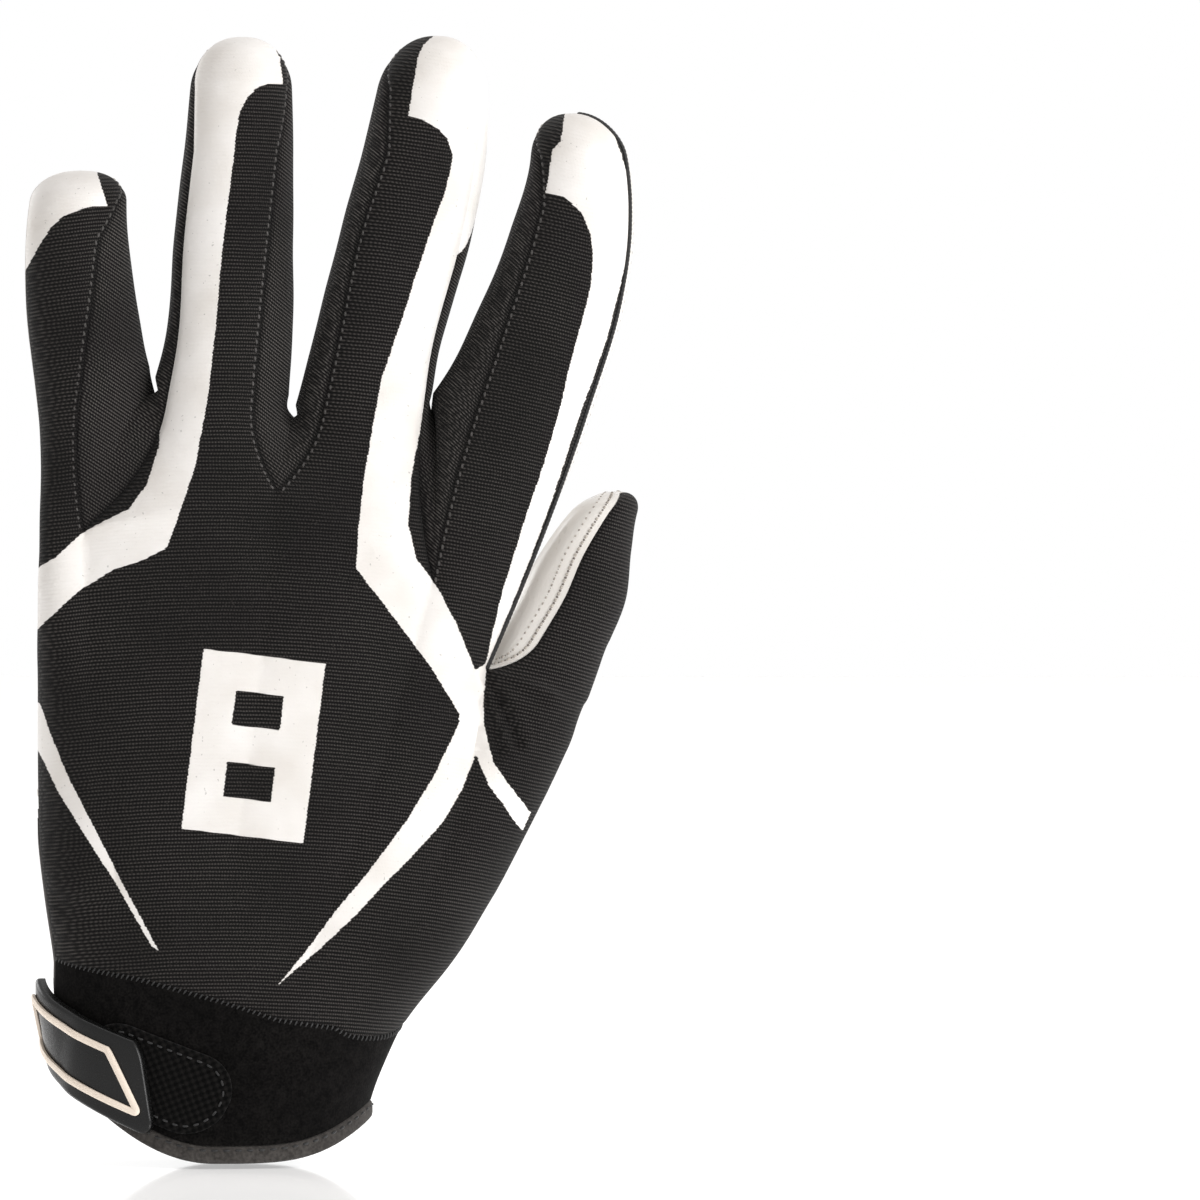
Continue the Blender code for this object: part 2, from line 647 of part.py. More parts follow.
def plate_outline(left, right, low, high, slant, corner):
    """Give a plate's grid of along and up values: a band whose right end leans and is rounded.

    Along runs from left to right in equal steps. Near an end the band narrows by a
    quarter round of the corner's size, and the end leans by slant from top to bottom.
    """
    share = np.linspace(0, 1, PLATE_STEPS + 1)[:, None]
    rise = np.linspace(-1, 1, PLATE_RISE_STEPS + 1)[None, :]
    along = left + (right - left) * share
    to_end = np.minimum(along - left, right - along)
    inset = np.clip(1 - to_end / corner, 0, 1)
    shrink = corner * (1 - np.sqrt(1 - inset**2 * 0.96))
    half = (high - low) / 2 - shrink
    up = (low + high) / 2 + half * rise
    lean = np.clip(share * 2 - 1, 0, 1) ** 1.5
    return along - slant * lean * (rise + 1) / 2, up


def grid_border(grid):
    """Give the values round the border of a grid, in order."""
    return np.concatenate([grid[:-1, 0], grid[-1, :-1], grid[:0:-1, -1], grid[0, :0:-1]])


def plate_mesh(outline, low_lift, high_lift, bevel):
    """Make a plate that follows the cuff, with a bevelled upper edge."""
    along, up = outline
    middle_up = up.mean(axis=1, keepdims=True)
    half_up = (up.max() - up.min()) / 2
    half_along = (along.max() - along.min()) / 2
    inner_up = middle_up + (up - middle_up) * (1 - bevel / half_up)
    centre = (along.max() + along.min()) / 2
    inner_along = centre + (along - centre) * (1 - bevel / half_along)
    low = closure_point(along, up, np.broadcast_to(low_lift, along.shape))
    rim = closure_point(along, up, np.broadcast_to(high_lift - bevel, along.shape))
    top = closure_point(inner_along, inner_up, np.broadcast_to(high_lift, along.shape))
    rows, columns = along.shape
    number = np.arange(rows * columns).reshape(rows, columns)
    quads = np.stack([number[:-1, :-1], number[1:, :-1], number[1:, 1:], number[:-1, 1:]],
                     axis=-1).reshape(-1, 4)
    count = rows * columns
    loop = grid_border(number)
    ahead = np.roll(loop, -1)
    points = np.concatenate([low.reshape(-1, 3), top.reshape(-1, 3), rim.reshape(-1, 3)[loop]])
    rim_loop = 2 * count + np.arange(len(loop))
    rim_ahead = np.roll(rim_loop, -1)
    faces = quads[:, ::-1].tolist() + (quads + count).tolist()
    faces += np.stack([loop, ahead, rim_ahead, rim_loop], axis=-1).tolist()
    faces += np.stack([rim_loop, rim_ahead, ahead + count, loop + count], axis=-1).tolist()
    return points, faces


def tab_lift(along):
    """Give the height of the tab's lower face over the cuff: it climbs onto the loop patch."""
    climb = np.clip((along - PATCH_LEFT + TAB_CLIMB) / TAB_CLIMB, 0, 1)
    rise = PATCH_THICKNESS + 2 * LAY_GAP - TAB_LIFT_SLIT
    return TAB_LIFT_SLIT + rise * climb**2 * (3 - 2 * climb)


def tab_mesh():
    """Make the rubber tab: it lies on the tape at the slit and on the loop patch beyond it."""
    half = TAB_HEIGHT / 2
    outline = plate_outline(TAB_LEFT, TAB_RIGHT, -half, half, TAB_LEAN, TAB_CORNER)
    low = tab_lift(outline[0])
    return plate_mesh(outline, low, low + TAB_THICKNESS, TAB_BEVEL)


def outline_mesh():
    """Make the raised outline on the tab, a closed band inside its rim."""
    inset = TAB_RIM + OUTLINE_WIDTH / 2
    along, up = plate_outline(TAB_LEFT + inset, TAB_RIGHT - inset * 1.3, inset - TAB_HEIGHT / 2,
                              TAB_HEIGHT / 2 - inset, TAB_LEAN, OUTLINE_CORNER)
    loop_along = grid_border(along)
    loop_up = grid_border(up)
    lift = tab_lift(loop_along) + TAB_THICKNESS + LAY_GAP + OUTLINE_THICKNESS / 2
    path = closure_point(loop_along, loop_up, lift)
    outward = closure_point(loop_along, loop_up, lift + TAB_THICKNESS) - path
    return sweep(path, unit(outward), OUTLINE_WIDTH / 2, OUTLINE_THICKNESS / 2, 4, True)


def patch_mesh():
    """Make the loop patch, sewn flat on the cuff with a round end."""
    outline = plate_outline(PATCH_LEFT, PATCH_RIGHT, PATCH_LOW, PATCH_HIGH, 0, PATCH_CORNER)
    return plate_mesh(outline, LAY_GAP, LAY_GAP + PATCH_THICKNESS, PATCH_BEVEL)


def make_object(name, points, faces, material):
    """Put a mesh into the scene, shaded smooth, with its material."""
    mesh = bpy.data.meshes.new(name)
    mesh.from_pydata([tuple(point) for point in np.asarray(points, float)], [], faces)
    mesh.materials.append(material)
    mesh.update()
    mesh.shade_smooth()
    mesh.set_sharp_from_angle(angle=math.radians(40))
    body = bpy.data.objects.new(name, mesh)
    bpy.context.scene.collection.objects.link(body)
    return body


def make_material(name, colour, roughness):
    """Make a plain material from a colour and a roughness."""
    material = bpy.data.materials.new(name)
    material.use_nodes = True
    shader = material.node_tree.nodes["Principled BSDF"]
    shader.inputs["Base Color"].default_value = (*colour, 1)
    shader.inputs["Roughness"].default_value = roughness
    shader.inputs["Metallic"].default_value = 0
    return material


def clear_scene():
    """Remove what the scene holds."""
    for item in list(bpy.data.objects):
        bpy.data.objects.remove(item, do_unlink=True)


def main():
    """Build all ten pieces of the glove."""
    clear_scene()
    knit = make_material("black_knit", (0.012, 0.011, 0.012), 0.85)
    leather = make_material("white_coated_leather", (0.78, 0.76, 0.72), 0.30)
    stretch = make_material("black_neoprene", (0.005, 0.005, 0.005), 0.92)
    rubber = make_material("black_rubber", (0.010, 0.010, 0.010), 0.35)
    cream = make_material("cream_rubber", (0.80, 0.72, 0.62), 0.45)
    tape = make_material("charcoal_tape", (0.035, 0.031, 0.028), 0.70)
    loop = make_material("black_loop", (0.008, 0.008, 0.008), 0.95)
    patches, legs, feet = glove_patches()
    points, faces, owners = weld(patches)
    normals = skin_normals(points, faces)
    pieces = (
        ("back_panel", KNIT_WALL, BACK_DRAW, knit),
        ("palm_panel", LEATHER_WALL, PALM_DRAW, leather),
        ("gusset_little_ring", GUSSET_WALL, GUSSET_DRAW, knit),
        ("gusset_ring_middle", GUSSET_WALL, GUSSET_DRAW, knit),
        ("gusset_middle_index", GUSSET_WALL, GUSSET_DRAW, knit),
        ("cuff", CUFF_WALL, CUFF_DRAW, stretch),
    )
    for name, wall, draw, material in pieces:
        mesh = panel_mesh(name, points, faces, owners, normals, wall, draw)
        make_object(name, *mesh, material)
    path, outward, half_width = tape_path(legs, feet)
    make_object("edge_tape", *sweep(path, outward, half_width, TAPE_THICKNESS / 2, TAPE_SIDES, False),
                tape)
    make_object("loop_patch", *patch_mesh(), loop)
    make_object("closure_tab", *tab_mesh(), rubber)
    make_object("tab_outline", *outline_mesh(), cream)


main()
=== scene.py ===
"""Dress the football receiver glove: knit, coated leather, foam cuff, tape, tab and stitches.

The glove's skin is worked out again from the same grids as its solids, with finer steps.
Metres, +Z up along the fingers, +X to the thumb side, -Y out of the back of the hand.
"""
import functools
import math

import bpy
import numpy as np
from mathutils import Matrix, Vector


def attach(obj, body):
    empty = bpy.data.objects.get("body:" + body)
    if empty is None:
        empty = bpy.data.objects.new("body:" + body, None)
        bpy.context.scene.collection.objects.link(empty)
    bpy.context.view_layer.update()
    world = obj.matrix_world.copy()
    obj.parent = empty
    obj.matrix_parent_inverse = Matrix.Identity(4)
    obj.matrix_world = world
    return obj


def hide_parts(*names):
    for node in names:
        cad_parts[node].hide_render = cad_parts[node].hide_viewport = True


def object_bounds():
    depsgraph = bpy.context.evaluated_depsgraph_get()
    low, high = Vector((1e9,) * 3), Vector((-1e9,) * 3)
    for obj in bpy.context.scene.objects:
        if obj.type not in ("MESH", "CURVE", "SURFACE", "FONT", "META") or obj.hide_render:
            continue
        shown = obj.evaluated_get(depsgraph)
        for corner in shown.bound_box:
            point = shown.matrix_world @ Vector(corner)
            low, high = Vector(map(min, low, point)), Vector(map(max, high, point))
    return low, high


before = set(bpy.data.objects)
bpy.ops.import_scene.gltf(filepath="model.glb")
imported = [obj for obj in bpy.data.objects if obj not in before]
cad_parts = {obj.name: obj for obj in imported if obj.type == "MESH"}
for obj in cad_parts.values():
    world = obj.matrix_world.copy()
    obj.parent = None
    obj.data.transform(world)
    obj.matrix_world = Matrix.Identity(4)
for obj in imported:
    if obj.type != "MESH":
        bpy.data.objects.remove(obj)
CAD_BOX = [list(corner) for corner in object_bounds()]

bl_info = {
    "name": "Football receiver glove",
    "version": (1, 0, 0),
    "blender": (4, 5, 0),
    "location": "3D View > Sidebar > Glove",
    "description": "Makes the cloth, leather, rubber and stitches of a football receiver glove",
    "category": "Add Mesh",
}

# Sizes of the glove, in metres
PALM_WIDTH = 0.100
HAND_LENGTH = 0.119
HAND_DEPTH = 0.040
CUFF_LENGTH = 0.031
WRIST_WIDTH = 0.060
WRIST_DEPTH = 0.044
CUFF_TOP_WIDTH = 0.0752
CUFF_TOP_SHIFT = 0.0038
CUFF_FLARE = 1.6
FINGER_DEPTH = 0.0200
THUMB_DEPTH = 0.0215
KNIT_WALL = 0.0012
LEATHER_WALL = 0.0011
GUSSET_WALL = 0.0009
CUFF_WALL = 0.0017
SLIT_OPENING = 0.0016
TAPE_WIDTH = 0.0036
TAPE_THICKNESS = 0.0024
SEAM_GAP = 0.0003
EDGE_RISE_THUMB = 0.0085
EDGE_RISE_SLIT = 0.0180
CUFF_DIP = 0.0016
CLOSURE_SLANT = 22.0
CLOSURE_ANGLE = -60.0
CLOSURE_HEIGHT = 0.0205
LAY_GAP = 0.0003
PATCH_THICKNESS = 0.0010
PATCH_LEFT = 0.0030
PATCH_RIGHT = 0.0350
PATCH_LOW = -0.0060
PATCH_HIGH = 0.0105
PATCH_CORNER = 0.0085
TAB_THICKNESS = 0.0020
TAB_HEIGHT = 0.0170
TAB_LEFT = -0.0215
TAB_RIGHT = 0.0250
TAB_LEAN = 0.0105
TAB_CORNER = 0.0022
TAB_BEVEL = 0.0009
TAB_CLIMB = 0.0060
TAB_LIFT_SLIT = 0.0010
TAB_RIM = 0.0030
OUTLINE_THICKNESS = 0.0006
OUTLINE_WIDTH = 0.0014
OUTLINE_CORNER = 0.0009

# Grid stretches, and the fine steps in each of them
HAND_STEPS = 7
FORK_STEPS = 3
SHAFT_STEPS = 5
DOME_STEPS = 4
STRIP_STEPS = 6
GUSSET_STEPS = 4
CUFF_STEPS = 4
ROW_FINE = 12
COLUMN_FINE = 4
SLIT_ROW = 3

# Fingertips, forks and the tape's ends
DOME_START = 0.86
DOME_FULLNESS = 0.86
POLE_SHIFT = 0.45
SEAM_AT_TIP = 96.0
GUSSET_END_ROW = 2
FORK_BEND = 0.45
WEB_HALF_ANGLE = 64
WEB_PULL_ROWS = 1.6
WEB_PULL_FALL = 1.25
WEB_PULL_ON_FINGER = 0.30
WEB_PULL_DECAY = 1.1
TAPE_START = 0.45
TAPE_EASE = 0.0014
TAPE_OPEN_SHARE = 0.3
TAPE_SQUARENESS = 0.6

STATION_COLUMNS = ("along", "centre", "width", "back_left", "back_right", "palm_right", "palm_left")
LITTLE_STATIONS = (
    (0.00, -0.250, 1.00, -86, -12, 128, -86),
    (0.40, -0.275, 0.96, -86, 13, 124, -86),
    (0.80, -0.283, 0.86, -86, 37, 118, -86),
    (1.00, -0.276, 0.80, -86, 60, 110, -86),
)
RING_STATIONS = (
    (0.00, 0.014, 1.07, -58, 30, 116, -116),
    (0.18, 0.030, 1.00, -58, 30, 116, -116),
    (0.43, 0.037, 0.96, -58, 38, 115, -114),
    (0.79, 0.052, 0.84, -58, 54, 112, -112),
    (1.00, 0.055, 0.76, -60, 66, 108, -108),
)
MIDDLE_STATIONS = (
    (0.00, 0.306, 1.04, -40, 60, 116, -116),
    (0.16, 0.329, 0.99, -40, 60, 116, -116),
    (0.47, 0.390, 1.01, -45, 60, 115, -115),
    (0.70, 0.430, 0.94, -38, 60, 112, -112),
    (1.00, 0.455, 0.72, -30, 62, 108, -108),
)
INDEX_STATIONS = (
    (0.00, 0.605, 1.09, -30, 74, 74, -122),
    (0.37, 0.690, 1.00, -36, 74, 74, -120),
    (0.61, 0.730, 0.87, -38, 74, 74, -116),
    (0.86, 0.746, 0.68, -40, 76, 76, -112),
    (1.00, 0.732, 0.60, -50, 78, 78, -108),
)
THUMB_STATIONS = (
    (0.00, 0.690, 1.00, -13, 140, 140, -13),
    (0.27, 0.730, 0.94, -9, 136, 136, -9),
    (0.60, 0.763, 0.76, -3, 130, 130, -3),
    (0.86, 0.800, 0.56, 6, 124, 124, 6),
    (1.00, 0.828, 0.44, 10, 120, 120, 10),
)
RAY_COLUMNS = ("name", "length", "width", "depth", "base", "depth_base", "depth_tip", "lean",
               "sink", "stations")
RAYS = (
    ("little", 0.0457, 0.0236, FINGER_DEPTH, 1.045, 0.96, 0.80, 0.15, 0.05, LITTLE_STATIONS),
    ("ring", 0.0762, 0.0256, FINGER_DEPTH, 1.020, 1.04, 0.86, 0.20, 0.00, RING_STATIONS),
    ("middle", 0.0788, 0.0270, FINGER_DEPTH, 1.000, 1.06, 0.88, 0.20, 0.00, MIDDLE_STATIONS),
    ("index", 0.0634, 0.0289, FINGER_DEPTH, 0.995, 1.04, 0.86, 0.15, 0.00, INDEX_STATIONS),
    ("thumb", 0.0305, 0.0240, THUMB_DEPTH, 0.618, 1.00, 0.72, 0.00, 0.14, THUMB_STATIONS),
)

# Lines between the rays: across, depth and up, as shares of palm width, half depth and length
OUTER_LINE = (
    (-0.338, -0.02, 0.070), (-0.361, -0.02, 0.291), (-0.359, -0.02, 0.515), (-0.346, -0.02, 0.756))
OUTER_LINE_PALM = (
    (-0.338, 0.02, 0.140), (-0.361, 0.02, 0.320), (-0.359, -0.02, 0.515), (-0.346, -0.02, 0.756))
BACK_LINES = (
    ((-0.174, -0.90, 0.039), (-0.215, -0.74, 0.273), (-0.252, -0.62, 0.532), (-0.267, -0.46, 0.808)),
    ((0.000, -1.00, 0.003), (0.041, -0.88, 0.239), (0.092, -0.77, 0.549), (0.129, -0.62, 0.876)),
    ((0.154, -0.98, -0.031), (0.256, -0.86, 0.187), (0.363, -0.75, 0.463), (0.445, -0.60, 0.720)),
    ((0.301, -0.80, -0.045), (0.431, -0.74, 0.170), (0.519, -0.59, 0.394), (0.558, -0.34, 0.570)),
)
PALM_LINES = (
    ((-0.174, 0.90, 0.110), (-0.185, 0.75, 0.342), (-0.164, 0.60, 0.618), (-0.135, 0.46, 0.883)),
    ((0.000, 0.98, 0.087), (0.051, 0.76, 0.342), (0.103, 0.60, 0.618), (0.156, 0.50, 0.930)),
    ((0.174, 0.96, 0.063), (0.246, 0.76, 0.291), (0.328, 0.60, 0.566), (0.422, 0.46, 0.885)),
    ((0.281, 0.88, 0.046), (0.369, 0.70, 0.239), (0.441, 0.42, 0.411), (0.558, -0.34, 0.570)),
)
THUMB_LINE = (
    (0.365, 0.72, 0.041), (0.461, 0.66, 0.170), (0.585, 0.56, 0.342), (0.715, 0.52, 0.515))
WEB_CRESTS = ((-0.138, 0.00, 1.040), (0.160, 0.00, 1.000), (0.451, 0.00, 0.995))
BACK_SWELLS = (
    (62, 0.120, 0.300), (50, 0.035, 0.090), (50, 0.020, 0.080), (50, 0.030, 0.100),
    (78, 0.470, 0.740))
PALM_SWELLS = (
    (62, 0.120, 0.250), (50, 0.030, 0.060), (50, 0.010, 0.050), (50, 0.020, 0.090),
    (60, 0.090, 0.380))

# The prints are drawn on squared paper: columns across from the left, rows down from the top.
# One square is PRINT_SQUARE wide, and the glove's origin is at PRINT_MIDDLE and PRINT_FOOT.
PRINT_SQUARE = 0.000205
PRINT_MIDDLE = 215
PRINT_FOOT = 1150
LITTLE_CAP = (
    (0, 150), (94, 150), (97, 172), (100, 181), (104, 195), (108, 207), (93, 207), (79, 211), (64, 217),
    (52, 228), (41, 244), (31, 262), (20, 280), (0, 290))
RING_PRINT = (
    (160, 0), (262, 0), (274, 46), (280, 57), (283, 85), (268, 85), (256, 90), (247, 100), (240, 113),
    (237, 131), (233, 168), (228, 205), (224, 242), (220, 279), (218, 310),
    (209, 395), (196, 466), (181, 512), (168, 548), (144, 560), (115, 570), (84, 588), (47, 621),
    (10, 655), (10, 585), (56, 558), (81, 535), (107, 520), (130, 509), (148, 484),
    (159, 448), (163, 400), (150, 330))
MIDDLE_PRINT = (
    (437, 0), (520, 0), (500, 216), (462, 300), (440, 365), (428, 385), (419, 436), (411, 477),
    (408, 525), (416, 559), (436, 586), (455, 622), (476, 673), (461, 717), (431, 668), (397, 622),
    (356, 569), (358, 530), (364, 477), (373, 424), (381, 380), (389, 357), (409, 298), (413, 283),
    (422, 257), (432, 227), (443, 198), (450, 172), (452, 157), (448, 142), (439, 131), (424, 122),
    (408, 117), (411, 98), (414, 79), (418, 57), (424, 44), (437, 32))
INDEX_PRINT = (
    (566, 60), (600, 60), (612, 130), (620, 151), (627, 175), (630, 218), (627, 256), (618, 294),
    (607, 337), (594, 375), (580, 413), (569, 447), (555, 490), (533, 551), (510, 609), (496, 642),
    (486, 668), (484, 690), (474, 680), (486, 661), (492, 632), (501, 594), (523, 523), (544, 461),
    (559, 409), (570, 361), (582, 318), (590, 285), (592, 256), (590, 237), (580, 213), (563, 198),
    (545, 194), (549, 170), (552, 151), (560, 142), (565, 113))
CROSS_PRINT = (
    (458, 718), (470, 672), (484, 664), (483, 702), (483, 724), (493, 763), (513, 790), (530, 812),
    (522, 830), (512, 818), (503, 804), (488, 785), (475, 753))
LONG_LEG_PRINT = (
    (461, 717), (480, 730), (475, 753), (462, 787), (442, 821), (413, 853), (384, 882), (355, 913),
    (321, 945), (279, 981), (307, 947), (336, 908), (370, 867), (406, 819), (433, 775))
SPIKE_PRINT = (
    (20, 690), (41, 704), (54, 739), (71, 779), (102, 838), (128, 889), (160, 948), (152, 942), (120, 886),
    (89, 838), (59, 790), (41, 754), (20, 720))
PRINTS = (LITTLE_CAP, RING_PRINT, MIDDLE_PRINT, INDEX_PRINT, CROSS_PRINT, LONG_LEG_PRINT, SPIKE_PRINT)
FIGURE_MIDDLE = (254, 745)
FIGURE_WIDTH = 122
FIGURE_HEIGHT = 180
FIGURE_STROKE = 37
FIGURE_TURN = 7.0

# On the side of the middle fingertip the print goes on over the seam: the depth that it reaches
# at each of four heights
SIDE_PRINT_HEIGHTS = (0.180, 0.192, 0.205, 0.217)
SIDE_PRINT_DEPTHS = (-0.0060, 0.0015, 0.0015, 0.0055)

# Creases on the back: start and end on the same squared paper, width and depth in metres
BACK_CREASES = (
    ((487, 676), (516, 742), 0.0011, 0.0010), ((484, 700), (500, 752), 0.0009, 0.0007),
    ((492, 672), (540, 700), 0.0014, 0.0005), ((60, 905), (150, 925), 0.0030, 0.0005),
    ((52, 860), (120, 870), 0.0026, 0.0004), ((300, 935), (420, 930), 0.0040, 0.0004))

# Creases on the palm: points as across and up in metres, then width and depth
PALM_CREASES = (
    (((0.0575, 0.134), (0.052, 0.122), (0.0475, 0.107), (0.042, 0.095), (0.038, 0.085), (0.039, 0.076),
      (0.045, 0.072)), 0.0026, 0.0020),
    (((0.034, 0.110), (0.036, 0.098), (0.033, 0.088)), 0.0050, 0.0009),
    (((-0.034, 0.110), (-0.010, 0.118), (0.020, 0.118), (0.046, 0.112)), 0.0034, 0.0007),
    (((-0.034, 0.086), (-0.005, 0.092), (0.026, 0.102), (0.044, 0.104)), 0.0032, 0.0006),
    (((0.020, 0.052), (0.030, 0.060), (0.038, 0.072)), 0.0040, 0.0008),
)
BACK_CREASE_SWELL = 0.5
PALM_CREASE_SWELL = 0.4

# Seam grooves and the leather's rounded edge, as depth and width
SEAM_DEPTH = 0.00045
SEAM_DEPTH_OUTER = 0.00008
SEAM_WIDTH = 0.0009
EDGE_ROUND = 0.00025
RELIEF_FADE = 0.0045

# Triangles this near a print's edge are split, once for each distance
PRINT_REACHES = (0.0015, 0.0007)
NOT_PRINTED = 0.01

# Sewing: distances from a panel's edge, radii of thread, and how much of its pitch a stitch fills
STITCH_EDGE = 0.0015
STITCH_EDGE_SEEN = {(0, "left"): 0.0030, (3, "right"): 0.0034}
STITCH_EDGE_THUMB = 0.0017
THUMB_ROWS = (0.0016, 0.0038)
PALM_THREAD = 0.00030
PALM_FILL = 0.68
THUMB_THREAD = 0.00031
THUMB_FILL = 0.62
THREAD_LIFT = 0.00006
TIP_ROWS_LEFT = 17
SEAM_INSET = 0.0008
SEAM_SUNK = 0.00026
INDEX_INSET = 0.0001
INDEX_SUNK = 0.0001
CUFF_SUNK = 0.00012
PATCH_ROW_INSET = 0.0016
TAPE_ROW_ENDS = (0.14, 0.86)

# Pitch, length and thread radius of the rows on seams, index seam, cuff seam, tape and patch
SEAM_ROW = (0.0017, 0.0013, 0.00028)
INDEX_ROW = (0.0009, 0.0019, 0.00042)
CUFF_ROW = (0.0011, 0.0014, 0.00020)
TAPE_ROW = (0.0024, 0.0017, 0.00024)
PATCH_ROW = (0.0022, 0.0015, 0.00022)

# Studio: name, place, size and power in watts of each lamp, and the camera's distance
LAMPS = (
    ("key", (1.35, -1.05, 0.75), 0.8, 21.0), ("fill", (-1.2, -1.4, 0.5), 1.4, 0.6),
    ("top", (0.1, 0.1, 1.4), 1.0, 5.0), ("back", (-1.2, 1.1, 0.7), 0.9, 8.5),
    ("edge", (1.3, 0.2, 0.5), 0.7, 4.0))
LAMP_TARGET = (0.02, 0.0, 0.11)
CAMERA_AWAY = 2.2
PICTURE_SQUARES = 1200
FLOOR_HALF = 14
FLOOR_GAP = 0.0012


def rows_of(columns, table):
    """Give a table as arrays by column name."""
    return {name: np.array([row[i] for row in table], float) for i, name in enumerate(columns)}


def smooth(at, places, values):
    """Read a cubic through given values, whose slopes are those of its neighbours."""
    places = np.asarray(places, float)
    values = np.asarray(values, float)
    slopes = np.gradient(values, places, axis=0)
    at = np.clip(np.asarray(at, float), places[0], places[-1])
    i = np.clip(np.searchsorted(places, at, side="right") - 1, 0, len(places) - 2)
    span = places[i + 1] - places[i]
    t = (at - places[i]) / span
    if values.ndim == 2:
        t = t[:, None]
        span = span[:, None]
    rise = values[i + 1] * (3 * t**2 - 2 * t**3) + values[i] * (1 - 3 * t**2 + 2 * t**3)
    return rise + span * (slopes[i] * (t - 2 * t**2 + t**3) + slopes[i + 1] * (t**3 - t**2))


def unit(vectors):
    """Scale vectors to length one."""
    return vectors / np.maximum(np.linalg.norm(vectors, axis=-1, keepdims=True), 1e-12)


def place(rows):
    """Turn rows of shares into points in metres."""
    rows = np.asarray(rows, float)
    return np.stack([rows[..., 0] * PALM_WIDTH, rows[..., 1] * HAND_DEPTH / 2,
                     CUFF_LENGTH + rows[..., 2] * HAND_LENGTH], axis=-1)


def line(rows):
    """Give the points of a line between rays on the rows from the cuff seam to the fork."""
    share = np.linspace(0, 1, HAND_STEPS * ROW_FINE + 1)
    return smooth(share, np.linspace(0, 1, len(rows)), place(rows))


def seat(grid):
    """Set the lowest row of a grid on the cuff's oval; the move fades over three stretches."""
    miss = cuff_point(cuff_angle(grid[0]), grid[0][..., 2]) - grid[0]
    row = np.arange(len(grid)) / ROW_FINE
    share = smooth(row, (0, 1, 2, 3), (1.0, 0.55, 0.15, 0.0))
    return grid + share.reshape((-1,) + (1,) * (grid.ndim - 1)) * miss


class Ray:
    """A finger or the thumb: level rings along a leaning centre line, closed by a dome."""

    def __init__(self, row):
        self.size = dict(zip(RAY_COLUMNS, row))
        self.table = rows_of(STATION_COLUMNS, self.size["stations"])
        shaft = np.linspace(0, DOME_START, SHAFT_STEPS * ROW_FINE + 1)
        turn = np.linspace(0, math.pi / 2, DOME_STEPS * ROW_FINE + 1)[1:]
        self.along = np.concatenate([shaft, DOME_START + (1 - DOME_START) * np.sin(turn)])
        self.round = np.concatenate([np.ones(len(shaft)), np.abs(np.cos(turn)) ** DOME_FULLNESS])
        self.round[-1] = 0.0
        self.row = np.arange(len(self.along)) / ROW_FINE

    def read(self, name):
        """Read one column of the stations at each ring."""
        return smooth(self.along, self.table["along"], self.table[name])

    def seam(self, name, partner):
        """Give a seam's angle at each ring; beyond the gusset's end it shares its partner's."""
        angle = self.read(name)
        end = SHAFT_STEPS + GUSSET_END_ROW
        start = SHAFT_STEPS - 1
        share = np.clip((self.row - start) / (end - start), 0, 1)
        if np.allclose(angle, self.read(partner)):
            return angle
        tip_angle = SEAM_AT_TIP if name.endswith("right") else -SEAM_AT_TIP
        return angle + (tip_angle - angle) * share

    def ring(self, angles):
        """Give points at one angle for each ring, or at a row of angles for each ring."""
        size = self.size
        angles = np.radians(angles)
        shape = (-1,) + (1,) * (angles.ndim - 1)
        half_width = (self.read("width") * size["width"] / 2 * self.round).reshape(shape)
        share = size["depth_base"] + (size["depth_tip"] - size["depth_base"]) * self.along
        half_depth = share * size["depth"] / 2
        pole = POLE_SHIFT * half_depth * (1 - self.round)
        lean = size["lean"] * size["depth"] * self.along**2 + size["sink"] * size["depth"]
        centre_y = (lean + pole).reshape(shape)
        half_depth = (half_depth * self.round).reshape(shape)
        centre_x = (self.read("centre") * PALM_WIDTH).reshape(shape)
        base = CUFF_LENGTH + size["base"] * HAND_LENGTH
        height = (base + self.along * size["length"]).reshape(shape)
        return np.stack([centre_x + half_width * np.sin(angles),
                         centre_y - half_depth * np.cos(angles),
                         height + 0 * angles], axis=-1)


def fork_curve(fork, ring_line):
    """Lead a seam from the fork to the finger's base: a quadratic bend that ends along it."""
    base = ring_line[0]
    along = unit(ring_line[ROW_FINE] - ring_line[0])
    control = base - along * FORK_BEND * np.linalg.norm(base - fork)
    t = np.linspace(0, 1, FORK_STEPS * ROW_FINE + 1)[:, None]
    return (1 - t) ** 2 * fork + 2 * t * (1 - t) * control + t**2 * base


def bulge(half_angle, steps):
    """Give the even spread and the rise of an arc over its chord, each at every step."""
    half = math.radians(half_angle)
    turn = np.linspace(-half, half, steps * COLUMN_FINE + 1)
    spread = 0.5 + 0.5 * np.sin(turn) / math.sin(half)
    rise = (np.cos(turn) - math.cos(half)) / (1 - math.cos(half))
    return spread, rise


